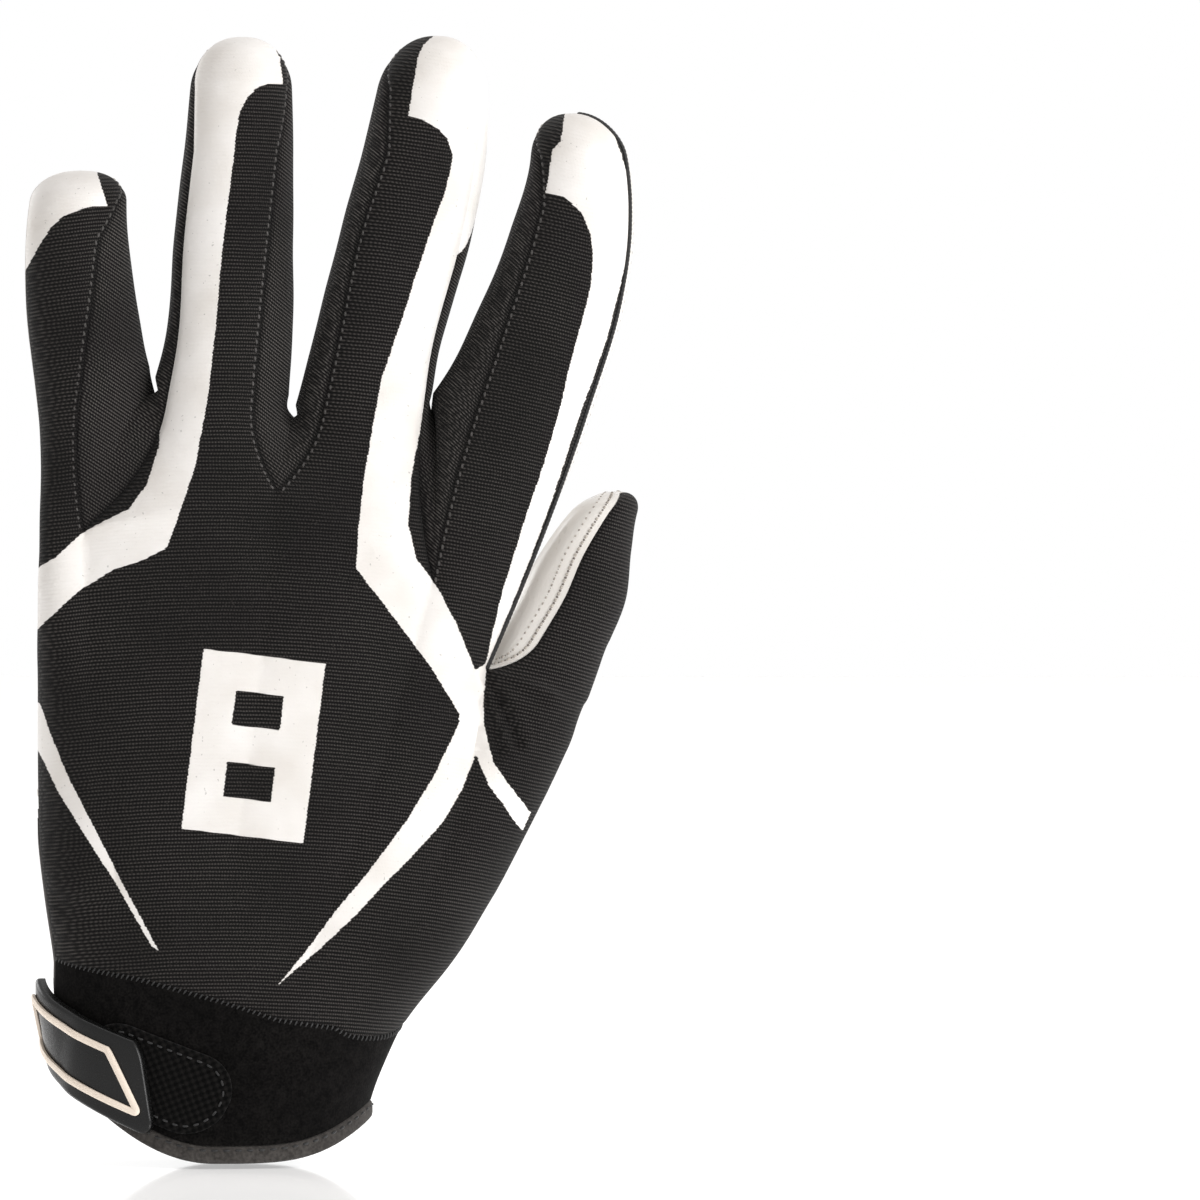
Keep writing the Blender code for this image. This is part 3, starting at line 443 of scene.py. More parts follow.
def strip(ray, left, right, left_angle, right_angle, swell, out):
    """Fill the wall between two long seams: an arc over the chord in the hand, a stretch of
    the ring on the finger, and a soft blend of both offsets at the fork."""
    half_angle, at_cuff, at_fork = swell
    share = np.linspace(0, 1, STRIP_STEPS * COLUMN_FINE + 1)
    rings = ray.ring(left_angle[:, None] + (right_angle - left_angle)[:, None] * share)
    low = (HAND_STEPS + FORK_STEPS) * ROW_FINE + 1
    row = np.arange(low) / ROW_FINE
    start = left[:low, None]
    end = right[:low, None]
    spread, rise = bulge(half_angle, STRIP_STEPS)
    chord = start + (end - start) * spread[None, :, None]
    middle = (start + end)[:, 0] / 2
    whole = row[::ROW_FINE]
    facing = unit(np.cross((end - start)[::ROW_FINE, 0], np.gradient(middle[::ROW_FINE], axis=0)))
    outward = unit(smooth(row, whole, facing)) * out
    height = (at_cuff + (at_fork - at_cuff) * np.clip(row / HAND_STEPS, 0, 1)**1.5) * HAND_DEPTH / 2
    shallow = chord + (height[:, None] * rise)[..., None] * outward[:, None]
    straight = start + (end - start) * share[None, :, None]
    full = straight + rings[0] - (rings[0, :1] + (rings[0, -1:] - rings[0, :1]) * share[:, None])
    blend = np.clip((row - HAND_STEPS + 1) / (FORK_STEPS + 1), 0, 1)
    blend = (blend**2 * (3 - 2 * blend))[:, None, None]
    return seat(np.concatenate([(shallow * (1 - blend) + full * blend)[:-1], rings]))


def gusset_side(back, palm, crest, ray, back_angle, palm_angle, out):
    """Fill one side of a fork from the back seam to the palm seam: an arc that reaches the
    web's crest at the fork and becomes a stretch of the ring up the finger."""
    share = np.linspace(0, 1, GUSSET_STEPS * COLUMN_FINE + 1)
    end = (SHAFT_STEPS + GUSSET_END_ROW) * ROW_FINE + 1
    angles = np.zeros((len(ray.along), len(share)))
    angles[:end] = back_angle[:end, None] + (palm_angle - back_angle)[:end, None] * share
    rings = ray.ring(angles)[:end]
    low = HAND_STEPS * ROW_FINE
    fork = FORK_STEPS * ROW_FINE
    start = np.concatenate([back[low:low + fork], rings[:, 0]])
    finish = np.concatenate([palm[low:low + fork], rings[:, -1]])
    spread, rise = bulge(WEB_HALF_ANGLE, GUSSET_STEPS)
    middle = (start + finish) / 2
    first = crest - middle[0]
    side = rings[:, len(share) // 2] - (rings[:, 0] + rings[:, -1]) / 2
    rows = np.arange(len(middle)) / ROW_FINE
    whole = np.arange(FORK_STEPS + SHAFT_STEPS + GUSSET_END_ROW + 1)
    fading = np.maximum(1 - whole / (FORK_STEPS + WEB_PULL_ROWS), 0) ** WEB_PULL_FALL
    upper = WEB_PULL_ON_FINGER * np.exp(-WEB_PULL_DECAY * (whole - FORK_STEPS))
    pull = np.where(whole <= FORK_STEPS, fading, upper)
    pull[-2:] = 0
    drawn = first[2] * smooth(rows, whole, pull)
    ring_rows = np.maximum(np.arange(len(middle)) - fork, 0)
    weight = np.minimum(rows / FORK_STEPS, 1)[:, None]
    reach = side[ring_rows] * weight + first * [1, 1, 0] * (1 - weight) + drawn[:, None] * [0, 0, 1]
    grid = start[:, None] + (finish - start)[:, None] * spread[None, :, None]
    grid = grid + reach[:, None] * rise[None, :, None]
    upper = np.clip((rows - FORK_STEPS - 2) / 2, 0, 1)[:, None, None]
    grid = grid * (1 - upper) + np.concatenate([grid[:fork], rings]) * upper
    grid[:, 0] = start
    grid[:, -1] = finish
    return grid if out > 0 else grid[:, ::-1]


def cuff_point(angle, height):
    """Give a point on the cuff's outside: level ovals that narrow towards the opening."""
    top = np.clip(height / CUFF_LENGTH, 0, 1) ** CUFF_FLARE
    half_width = (WRIST_WIDTH + (CUFF_TOP_WIDTH - WRIST_WIDTH) * top) / 2
    half_depth = (WRIST_DEPTH + (HAND_DEPTH - WRIST_DEPTH) * top) / 2
    return np.stack([CUFF_TOP_SHIFT * top + half_width * np.sin(angle), -half_depth * np.cos(angle),
                     height + 0 * angle], axis=-1)


def cuff_angle(points):
    """Give the angle round the cuff at which points of the cuff seam stand."""
    across = (points[..., 0] - CUFF_TOP_SHIFT) / CUFF_TOP_WIDTH
    return np.arctan2(across, -points[..., 1] / HAND_DEPTH)


def cuff_outward(angle):
    """Give the outward direction on the cuff at an angle round it."""
    return unit(np.stack([np.sin(angle) / WRIST_WIDTH, -np.cos(angle) / WRIST_DEPTH, 0 * angle], axis=-1))


def edge_height(angle):
    """Give the height of the cuff's lower edge: lowest at the back, higher at the sides."""
    side = np.sin(angle)
    return (EDGE_RISE_THUMB * np.clip(side, 0, 1) ** 4
            + EDGE_RISE_SLIT * np.clip(-side, 0, 1) ** 2 - CUFF_DIP)


def cuff_strip(top):
    """Carry a strip's lowest row down to the cuff's edge, above the binding tape."""
    angle = cuff_angle(top)
    bottom = edge_height(angle) + TAPE_WIDTH
    share = np.linspace(0, 1, CUFF_STEPS * ROW_FINE + 1)[:, None]
    rows = cuff_point(angle[None], bottom + (top[:, 2] - bottom) * share)
    rows[-1] = top
    return rows


def slit_shift(points, sign):
    """Open the slit: move the outer line off the middle of the slit below the slit's end."""
    half = SLIT_OPENING / 2 + TAPE_WIDTH + SEAM_GAP
    moved = points.copy()
    moved[:, 1] += sign * half * np.clip(SLIT_ROW - np.arange(len(points)) / ROW_FINE, 0, 1)
    return moved


@functools.lru_cache(maxsize=1)
def glove_patches():
    """Work out every wall of the glove as a grid, with the piece that it belongs to."""
    rays = [Ray(row) for row in RAYS]
    outer = line(OUTER_LINE)
    outer_palm = line(OUTER_LINE_PALM)
    outer_palm[SLIT_ROW * ROW_FINE:] = outer[SLIT_ROW * ROW_FINE:]
    thumb = seat(line(THUMB_LINE))
    back = [seat(slit_shift(outer, -1))] + [seat(line(rows)) for rows in BACK_LINES] + [thumb]
    palm = [seat(slit_shift(outer_palm, 1))] + [seat(line(rows)) for rows in PALM_LINES] + [thumb]
    patches = []
    seams = {}
    legs = []
    feet = {"back": [], "palm": []}
    for number, ray in enumerate(rays):
        pairs = (("back_left", "palm_left"), ("back_right", "palm_right"),
                 ("palm_right", "back_right"), ("palm_left", "back_left"))
        angles = {name: ray.seam(name, partner) for name, partner in pairs}
        for side, lines in (("back", back), ("palm", palm)):
            for edge, index in (("left", number), ("right", number + 1)):
                ring_line = ray.ring(angles[side + "_" + edge])
                lead = fork_curve(lines[index][-1], ring_line)
                seams[number, side + "_" + edge] = np.concatenate([lines[index], lead[1:-1], ring_line])
        for side, out, swells in (("back", 1, BACK_SWELLS), ("palm", -1, PALM_SWELLS)):
            turned = 0 if side == "back" else 360
            grid = strip(ray, seams[number, side + "_left"], seams[number, side + "_right"],
                         angles[side + "_left"] + turned, angles[side + "_right"], swells[number], out)
            cuff_grid = cuff_strip(grid[0])
            patches.append((side + "_panel", grid, out))
            patches.append(("cuff", cuff_grid, out))
            if number == 0:
                lines = back if side == "back" else palm
                legs.append(np.concatenate([lines[0][SLIT_ROW * ROW_FINE::-1], cuff_grid[::-1, 0][1:]]))
            feet[side] += list(cuff_grid[0])
        seams[number, "angles"] = angles
    names = ("gusset_little_ring", "gusset_ring_middle", "gusset_middle_index")
    for number, name in enumerate(names):
        for ray_number, edge, out in ((number, "right", 1), (number + 1, "left", -1)):
            angles = seams[ray_number, "angles"]
            grid = gusset_side(seams[ray_number, "back_" + edge], seams[ray_number, "palm_" + edge],
                               place(WEB_CRESTS[number]), rays[ray_number],
                               angles["back_" + edge], angles["palm_" + edge], out)
            patches.append((name, grid, 1))
    patches.append(("slit", np.stack([legs[1], legs[0]], axis=1)[::-1], 1))
    edge = np.array(feet["back"] + feet["palm"][::-1])
    fresh = np.linalg.norm(np.diff(edge, axis=0), axis=1) > SEAM_GAP / 2
    return patches, legs, edge[np.concatenate([[True], fresh])]


def halves(corners):
    """Split quads into triangles and leave out those with a repeated corner."""
    faces = np.concatenate([corners[:, [0, 1, 2]], corners[:, [0, 2, 3]]])
    same = (faces[:, 0] == faces[:, 1]) | (faces[:, 1] == faces[:, 2]) | (faces[:, 2] == faces[:, 0])
    return faces[~same]


def grid_faces(rows, columns, closed=False):
    """Give the quads of a grid of points; a closed one joins its last column to its first."""
    number = np.arange(rows * columns).reshape(rows, columns)
    beside = np.roll(number, -1, axis=1)
    if not closed:
        number = number[:, :-1]
        beside = beside[:, :-1]
    return np.stack([number[:-1], beside[:-1], beside[1:], number[1:]], axis=-1).reshape(-1, 4)


@functools.lru_cache(maxsize=1)
def skin():
    """Join all grids into one skin: points, triangles, the piece of each, and normals."""
    blocks = []
    faces = []
    owners = []
    count = 0
    for name, grid, out in glove_patches()[0]:
        quads = grid_faces(*grid.shape[:2]) + count
        part = halves(quads if out > 0 else quads[:, ::-1])
        blocks.append(grid.reshape(-1, 3))
        faces.append(part)
        owners += [name] * len(part)
        count += len(blocks[-1])
    points = np.concatenate(blocks)
    keys = np.round(points / 5e-6).astype(np.int64)
    _, keep, same = np.unique(keys, axis=0, return_index=True, return_inverse=True)
    faces = same.reshape(-1)[np.concatenate(faces)]
    points = points[keep]
    alive = (faces[:, 0] != faces[:, 1]) & (faces[:, 1] != faces[:, 2]) & (faces[:, 2] != faces[:, 0])
    return points, faces[alive], np.array(owners)[alive], vertex_normals(points, faces[alive])


def vertex_normals(points, faces):
    """Give the normal at each point, from the triangles that meet there."""
    corner = points[faces]
    normal = np.cross(corner[:, 1] - corner[:, 0], corner[:, 2] - corner[:, 0])
    total = np.zeros_like(points)
    for i in range(3):
        np.add.at(total, faces[:, i], normal)
    return unit(total)


def border_edges(faces, count):
    """Give the directed edges that only one triangle uses."""
    edges = np.concatenate([faces[:, [0, 1]], faces[:, [1, 2]], faces[:, [2, 0]]])
    codes = edges[:, 0].astype(np.int64) * count + edges[:, 1]
    turned = edges[:, 1].astype(np.int64) * count + edges[:, 0]
    return edges[~np.isin(codes, turned)]


def nearest(points, targets):
    """Give the distance from each point to the nearest of the targets."""
    found = np.empty(len(points))
    for first in range(0, len(points), 2000):
        block = points[first:first + 2000]
        away = ((block[:, None] - targets[None]) ** 2).sum(-1)
        found[first:first + 2000] = np.sqrt(away.min(1))
    return found


def print_distance(points):
    """Give the signed distance to the prints seen from the back, in metres, negative inside."""
    if len(points) > 20000:
        return np.concatenate([print_distance(points[:20000]), print_distance(points[20000:])])
    x = points[:, 0] / PRINT_SQUARE + PRINT_MIDDLE
    y = PRINT_FOOT - points[:, 2] / PRINT_SQUARE
    best = np.full(len(points), 1e3)
    for shape in PRINTS:
        start = np.array(shape, float)
        span = np.roll(start, -1, axis=0) - start
        from_start = np.stack([x, y], -1)[:, None] - start
        t = np.clip((from_start * span).sum(-1) / (span**2).sum(-1), 0, 1)
        away = np.linalg.norm(from_start - t[..., None] * span, axis=-1).min(1)
        above = start[:, 1] > y[:, None]
        cut = above != np.roll(above, -1, axis=1)
        slope = np.where(np.abs(span[:, 1]) > 1e-9, span[:, 0] / np.where(span[:, 1] == 0, 1, span[:, 1]), 0)
        side = x[:, None] < start[:, 0] + (y[:, None] - start[:, 1]) * slope
        inside = (cut & side).sum(1) % 2 == 1
        best = np.minimum(best, np.where(inside, -away, away))
    turn = math.radians(FIGURE_TURN)
    across = (x - FIGURE_MIDDLE[0]) * math.cos(turn) + (y - FIGURE_MIDDLE[1]) * math.sin(turn)
    down = (y - FIGURE_MIDDLE[1]) * math.cos(turn) - (x - FIGURE_MIDDLE[0]) * math.sin(turn)

    def bar(centre, half_width, half_height):
        return np.maximum(np.abs(across) - half_width, np.abs(down - centre) - half_height)

    hole = (FIGURE_HEIGHT - 3 * FIGURE_STROKE) / 4
    inner = FIGURE_WIDTH / 2 - FIGURE_STROKE
    offset = hole + FIGURE_STROKE / 2
    figure = np.maximum(bar(0, FIGURE_WIDTH / 2, FIGURE_HEIGHT / 2),
                        -np.minimum(bar(-offset, inner, hole), bar(offset, inner, hole)))
    return np.minimum(best, figure) * PRINT_SQUARE


def path_distance(x, z, path):
    """Give the distance in front view from points to a polyline, which runs through path."""
    start = np.array(path[:-1], float)
    span = np.array(path[1:], float) - start
    from_start = np.stack([x, z], -1)[:, None] - start
    t = np.clip((from_start * span).sum(-1) / (span**2).sum(-1), 0, 1)
    return np.linalg.norm(from_start - t[..., None] * span, axis=-1).min(1)


def paper(point):
    """Turn a place on the squared paper into across and up in metres."""
    return ((point[0] - PRINT_MIDDLE) * PRINT_SQUARE, (PRINT_FOOT - point[1]) * PRINT_SQUARE)


def fold(away, width, depth, swell):
    """Give a crease: a bell-shaped groove, less a share of it as a swell beside it."""
    groove = np.exp(-(away / width) ** 2)
    beside = np.exp(-((away - 2 * width) / width) ** 2)
    return depth * groove - swell * depth * beside


def ripple(points, size, depth):
    """Give soft unevenness: three crossing sine waves of about the given size, in metres."""
    x, y, z = (points / size).T
    waves = np.sin(x * 2.1 + z * 1.3 + 0.7) + np.sin(z * 2.9 - y * 1.7 + 2.1)
    return (waves + np.sin(x * 1.1 - z * 4.3 + y * 2.0)) / 3 * depth


def relief(name, points, edge):
    """Give how far the skin moves out: sunk seams, creases and soft unevenness.

    A seam is a groove, the bell curve of the distance to it. Creases fade out near seams. The
    outer seam on the left lies flush, so that no leather shows past it from the back.
    """
    free = np.clip(edge / RELIEF_FADE, 0, 1) ** 2
    groove = np.exp(-(edge / SEAM_WIDTH) ** 2)
    inner = 1 - np.clip((-0.024 - points[:, 0]) / 0.004, 0, 1)
    move = ripple(points, 0.010, 0.00012) * free
    if name == "back_panel":
        move = move - (SEAM_DEPTH_OUTER + (SEAM_DEPTH - SEAM_DEPTH_OUTER) * inner) * groove
        for start, end, width, depth in BACK_CREASES:
            away = path_distance(points[:, 0], points[:, 2], (paper(start), paper(end)))
            move = move - fold(away, width, depth, BACK_CREASE_SWELL) * free
    elif name == "palm_panel":
        rounded = inner * (1 - np.exp(-(edge / 0.0010) ** 2))
        sewn = np.exp(-((edge - STITCH_EDGE) / 0.0005) ** 2)
        move = move + EDGE_ROUND * rounded - EDGE_ROUND * sewn
        facing = np.clip(points[:, 1] / 0.004, 0, 1) * free
        for path, width, depth in PALM_CREASES:
            away = path_distance(points[:, 0], points[:, 2], path)
            move = move - fold(away, width, depth, PALM_CREASE_SWELL) * facing
    elif name.startswith("gusset"):
        move = move - SEAM_DEPTH * groove
    return move


def new_mesh(name, points, faces, material, attributes=(), sharp=50):
    """Put triangles or quads into a new mesh object, with point attributes and a material."""
    points = np.asarray(points, np.float32)
    faces = np.asarray(faces, np.int32)
    mesh = bpy.data.meshes.new(name)
    mesh.vertices.add(len(points))
    mesh.vertices.foreach_set("co", points.ravel())
    size = faces.shape[1]
    mesh.loops.add(faces.size)
    mesh.loops.foreach_set("vertex_index", faces.ravel())
    mesh.polygons.add(len(faces))
    mesh.polygons.foreach_set("loop_start", np.arange(0, faces.size, size, dtype=np.int32))
    mesh.update(calc_edges=True)
    for key, values in dict(attributes).items():
        layer = mesh.attributes.new(key, "FLOAT", "POINT")
        layer.data.foreach_set("value", np.asarray(values, np.float32))
    mesh.materials.append(material)
    mesh.shade_smooth()
    mesh.set_sharp_from_angle(angle=math.radians(sharp))
    body = bpy.data.objects.new(name, mesh)
    bpy.context.scene.collection.objects.link(body)
    return body


@functools.lru_cache(maxsize=None)
def panel_skin(name):
    """Cut one piece out of the skin: its points moved by their relief, triangles and values."""
    points, faces, owners, normals = skin()
    used, flat = np.unique(faces[owners == name], return_inverse=True)
    own = flat.reshape(-1, 3)
    outer = points[used]
    normal = normals[used]
    border = border_edges(own, len(used))
    edge = nearest(outer, outer[np.unique(border)])
    outer = outer + normal * relief(name, outer, edge)[:, None]
    return outer, own, normal, border, edge


def halve_near(data, faces, near):
    """Split the edges whose two ends are near, at their middles, and their triangles with them.

    data holds one row for each point, and a new point is the mean of its edge's two rows. A
    triangle with one such edge becomes two, with two of them three, and with three of them four.
    """
    ends = faces[:, [[0, 1], [1, 2], [2, 0]]]
    split = near[ends].all(-1)
    pairs = np.sort(ends, axis=-1)
    codes = pairs[..., 0].astype(np.int64) * len(data) + pairs[..., 1]
    wanted, first = np.unique(codes[split], return_index=True)
    chosen = pairs[split][first]
    data_new = np.concatenate([data, (data[chosen[:, 0]] + data[chosen[:, 1]]) / 2])
    middle = np.searchsorted(wanted, codes).clip(0, max(len(wanted) - 1, 0)) + len(data)
    count = split.sum(1)
    whole = faces[count == 0]
    one = count == 1
    turn = (np.argmax(split[one], axis=1)[:, None] + np.arange(3)) % 3
    a, b, c = np.take_along_axis(faces[one], turn, 1).T
    m = np.take_along_axis(middle[one], turn, 1)[:, 0]
    parts = [whole, np.stack([a, m, c], 1), np.stack([m, b, c], 1)]
    two = count == 2
    turn = (np.argmin(split[two], axis=1)[:, None] + np.arange(3)) % 3
    a, b, c = np.take_along_axis(faces[two], turn, 1).T
    _, m, n = np.take_along_axis(middle[two], turn, 1).T
    parts += [np.stack([a, b, m], 1), np.stack([a, m, n], 1), np.stack([n, m, c], 1)]
    a, b, c = faces[count == 3].T
    k, m, n = middle[count == 3].T
    parts += [np.stack([a, k, n], 1), np.stack([k, b, m], 1), np.stack([n, m, c], 1), np.stack([k, m, n], 1)]
    return data_new, np.concatenate(parts)


def make_panel(name, piece, wall, material):
    """Give one piece of the skin its wall: outside, inside and the rim between them."""
    outer, own, normal, border, edge = panel_skin(name)
    count = len(outer)
    rim = np.stack([border[:, 1], border[:, 0], border[:, 0] + count, border[:, 1] + count], axis=1)
    faces = np.concatenate([own, own[:, ::-1] + count, rim[:, [0, 1, 2]], rim[:, [0, 2, 3]]])
    points = np.concatenate([outer, outer - normal * wall])
    values = {"seam": np.concatenate([edge, edge + 1])}
    if name == "back_panel":
        inner = np.repeat([0.0, 1.0], count)
        data = np.column_stack([points, values["seam"], inner])
        for reach in PRINT_REACHES:
            away = np.abs(print_distance(data[:, :3])) + data[:, 4]
            data, faces = halve_near(data, faces, away < reach)
        points = data[:, :3]
        unprinted = NOT_PRINTED * (data[:, 4] > 0.5)
        values = {"seam": data[:, 3], "print": print_distance(points) + unprinted}
    elif name == "gusset_middle_index":
        beyond = points[:, 1] - np.interp(points[:, 2], SIDE_PRINT_HEIGHTS, SIDE_PRINT_DEPTHS)
        below = SIDE_PRINT_HEIGHTS[0] - points[:, 2]
        values["print"] = np.maximum(print_distance(points), np.maximum(beyond, below))
    body = new_mesh(piece, points, faces, material, values)
    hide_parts(name)
    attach(body, "root")
    return body


def node(tree, kind, inputs=None, **settings):
    """Add a node, set its properties, and set or link its inputs."""
    made = tree.nodes.new(kind)
    for key, value in settings.items():
        setattr(made, key, value)
    for key, value in (inputs or {}).items():
        socket = made.inputs[key]
        if isinstance(value, bpy.types.NodeSocket):
            tree.links.new(value, socket)
        else:
            socket.default_value = value
    return made


def calc(tree, operation, *values):
    """Add a maths node and give its result."""
    return node(tree, "ShaderNodeMath", dict(enumerate(values)), operation=operation).outputs[0]


def mix(tree, factor, first, second):
    """Mix two colours and give the result."""
    made = node(tree, "ShaderNodeMix", {0: factor, 6: first, 7: second}, data_type="RGBA")
    return made.outputs[2]


def ramp(tree, value, low, high, to_low=0.0, to_high=1.0):
    """Map a stretch of values to another, held at its ends."""
    return node(tree, "ShaderNodeMapRange", {0: value, 1: low, 2: high, 3: to_low, 4: to_high}).outputs[0]


def noise(tree, vector, scale, detail=2.0):
    """Give noise from 0 to 1."""
    return node(tree, "ShaderNodeTexNoise", {"Vector": vector, "Scale": scale, "Detail": detail}).outputs[0]


def new_group(name, inputs, outputs):
    """Start a shader node group with named sockets."""
    tree = bpy.data.node_groups.new(name, "ShaderNodeTree")
    for label, kind, default in inputs:
        socket = tree.interface.new_socket(name=label, in_out="INPUT", socket_type=kind)
        if default is not None:
            socket.default_value = default
    for label, kind in outputs:
        tree.interface.new_socket(name=label, in_out="OUTPUT", socket_type=kind)
    return tree, tree.nodes.new("NodeGroupInput"), tree.nodes.new("NodeGroupOutput")


def object_place(tree):
    """Give a point's place on its own object."""
    return node(tree, "ShaderNodeTexCoord").outputs["Object"]


@functools.lru_cache(maxsize=None)
def ribs_group():
    """Ribs of the knit: rows of loops along a bowed, slanted height, wavering and uneven."""
    tree, enter, leave = new_group(
        "knit_ribs",
        (("Vector", "NodeSocketVector", None), ("Pitch", "NodeSocketFloat", 0.0008),
         ("Slant", "NodeSocketFloat", 0.0), ("Bow", "NodeSocketFloat", 1.9),
         ("Waver", "NodeSocketFloat", 0.0005)),
        (("Rib", "NodeSocketFloat"), ("Row Noise", "NodeSocketFloat"), ("Height", "NodeSocketFloat")))
    vector = enter.outputs["Vector"]
    axes = node(tree, "ShaderNodeSeparateXYZ", {0: vector})
    uneven = calc(tree, "SUBTRACT", noise(tree, vector, 90.0), 0.5)
    waver = calc(tree, "MULTIPLY", uneven, enter.outputs["Waver"])
    slanted = calc(tree, "MULTIPLY", axes.outputs[0], enter.outputs["Slant"])
    beside = calc(tree, "SUBTRACT", axes.outputs[0], 0.015)
    bowed = calc(tree, "MULTIPLY", calc(tree, "MULTIPLY", beside, beside), enter.outputs["Bow"])
    height = calc(tree, "ADD", calc(tree, "ADD", axes.outputs[2], slanted), calc(tree, "ADD", waver, bowed))
    turns = calc(tree, "DIVIDE", height, enter.outputs["Pitch"])
    wave = calc(tree, "SINE", calc(tree, "MULTIPLY", turns, 2 * math.pi))
    rib = calc(tree, "MULTIPLY_ADD", wave, 0.5, 0.5)
    row = node(tree, "ShaderNodeTexWhiteNoise", {"W": calc(tree, "FLOOR", turns)}, noise_dimensions="1D")
    odd = calc(tree, "MULTIPLY", row.outputs[0], 6.28)
    across = calc(tree, "ADD", axes.outputs[0], calc(tree, "MULTIPLY", axes.outputs[1], 0.8))
    loops = calc(tree, "SINE", calc(tree, "ADD", calc(tree, "MULTIPLY", across, 2 * math.pi / 0.00062), odd))
    fuzz = noise(tree, vector, 2600.0)
    crest = calc(tree, "MULTIPLY", calc(tree, "MULTIPLY_ADD", loops, 0.25, 0.75), rib)
    body = calc(tree, "MULTIPLY", crest, 0.85)
    tree.links.new(rib, leave.inputs["Rib"])
    tree.links.new(row.outputs[0], leave.inputs["Row Noise"])
    tree.links.new(calc(tree, "ADD", body, calc(tree, "MULTIPLY", fuzz, 0.35)), leave.inputs["Height"])
    return tree


@functools.lru_cache(maxsize=None)
def grain_group():
    """Grain: coarse and fine noise as one height, and a slow variation of shade."""
    tree, enter, leave = new_group(
        "surface_grain",
        (("Vector", "NodeSocketVector", None), ("Scale", "NodeSocketFloat", 1500.0)),
        (("Height", "NodeSocketFloat"), ("Shade", "NodeSocketFloat")))
    vector = enter.outputs["Vector"]
    scale = enter.outputs["Scale"]
    fine = noise(tree, vector, scale, 3.0)
    coarse = noise(tree, vector, calc(tree, "MULTIPLY", scale, 0.25))
    total = calc(tree, "ADD", calc(tree, "MULTIPLY", fine, 0.6), calc(tree, "MULTIPLY", coarse, 0.4))
    tree.links.new(total, leave.inputs["Height"])
    tree.links.new(noise(tree, vector, calc(tree, "MULTIPLY", scale, 0.03)), leave.inputs["Shade"])
    return tree


def start_material(name, **sockets):
    """Start a Principled material and set the shader's own constant sockets."""
    material = bpy.data.materials.new(name)
    material.use_nodes = True
    shader = material.node_tree.nodes["Principled BSDF"]
    for key, value in sockets.items():
        shader.inputs[key.replace("_", " ")].default_value = value
    return material, material.node_tree, shader


def bump(tree, shader, height, distance, strength=1.0):
    """Feed a height to the shader's normal."""
    made = node(tree, "ShaderNodeBump", {"Height": height, "Distance": distance, "Strength": strength})
    tree.links.new(made.outputs[0], shader.inputs["Normal"])


def use_group(tree, group, **inputs):
    """Place a node group with its values."""
    return node(tree, "ShaderNodeGroup", inputs, node_tree=group)


def tint(name, share=1.0, rise=0.0):
    """Give a colour of the panel by its name, scaled and lifted, with full alpha."""
    shade = tuple(getattr(bpy.context.scene.glove_look, name))
    return (*(min(1.0, channel * share + rise) for channel in shade), 1.0)


def read_attribute(tree, name):
    """Read a point attribute in a material."""
    return node(tree, "ShaderNodeAttribute", attribute_name=name).outputs["Fac"]


@functools.lru_cache(maxsize=None)
def knit_material(printed, slant):
    """Black ribbed knit, with the white prints where the piece carries them. Its ridges are painted lighter
    and its grooves and sunk seams darker, as painted light and shade.
    """
    look = bpy.context.scene.glove_look
    gusset = slant > 0.5
    name = ("printed_" if printed else "") + ("gusset_knit" if gusset else "knit")
    top = tint("gusset_lit_ridge" if gusset else "knit_top")
    material, tree, shader = start_material(
        name, Roughness=0.8, Sheen_Weight=0.04, Sheen_Roughness=0.5, Specular_IOR_Level=0.12)
    vector = object_place(tree)
    ribs = use_group(tree, ribs_group(), Vector=vector, Pitch=look.rib_pitch, Slant=slant)
    rib = ribs.outputs["Rib"]
    shade = noise(tree, vector, 45.0)
    crest = ribs.outputs["Height"]
    # Painted light and shade: the ridges take the lit ridge colour, brighter on the gussets, and the grooves
    # take the shaded groove colour
    black = mix(tree, ramp(tree, crest, 0.42, 1.02), tint("knit_groove"), top)
    black = mix(tree, ramp(tree, shade, 0.35, 0.7, 0.0, 0.45), black, tint("knit_groove"))
    # Painted shade: the knit is darker within a millimetre of its sunk seams
    sunk = ramp(tree, read_attribute(tree, "seam"), 0.0, 0.0010, 0.8, 0.0)
    black = mix(tree, sunk, black, tint("knit_groove"))
    fleck = ramp(tree, noise(tree, vector, 3200.0), 0.60, 0.72, 0.0, 0.30)
    black = mix(tree, fleck, black, tint("knit_fleck"))
    result = black
    if printed:
        jitter = calc(tree, "MULTIPLY", calc(tree, "SUBTRACT", ribs.outputs["Row Noise"], 0.5), 0.00016)
        wave = calc(tree, "MULTIPLY", calc(tree, "SUBTRACT", rib, 0.5), 0.00012)
        place_in = calc(tree, "ADD", read_attribute(tree, "print"), calc(tree, "ADD", jitter, wave))
        inside = ramp(tree, place_in, -0.00006, 0.00006, 1.0, 0.0)
        cloudy = noise(tree, vector, 70.0)
        white = mix(tree, ramp(tree, cloudy, 0.35, 0.68), tint("print_white"), tint("print_shade"))
        specks = ramp(tree, noise(tree, vector, 1400.0, 1.0), 0.745, 0.77)
        white = mix(tree, calc(tree, "MULTIPLY", specks, 0.35), white, tint("knit_fleck"))
        result = mix(tree, inside, black, white)
        tree.links.new(ramp(tree, inside, 0.0, 1.0, 0.82, 0.42), shader.inputs["Roughness"])
        lumps = calc(tree, "MULTIPLY", noise(tree, vector, 500.0), 0.35)
        film = calc(tree, "MULTIPLY_ADD", crest, 0.12, lumps)
        lifted = calc(tree, "ADD", film, 0.9)
        blend = calc(tree, "MULTIPLY", calc(tree, "SUBTRACT", lifted, crest), inside)
        crest = calc(tree, "ADD", crest, blend)
    tree.links.new(result, shader.inputs["Base Color"])
    bump(tree, shader, crest, 0.00030, 1.0)
    return material


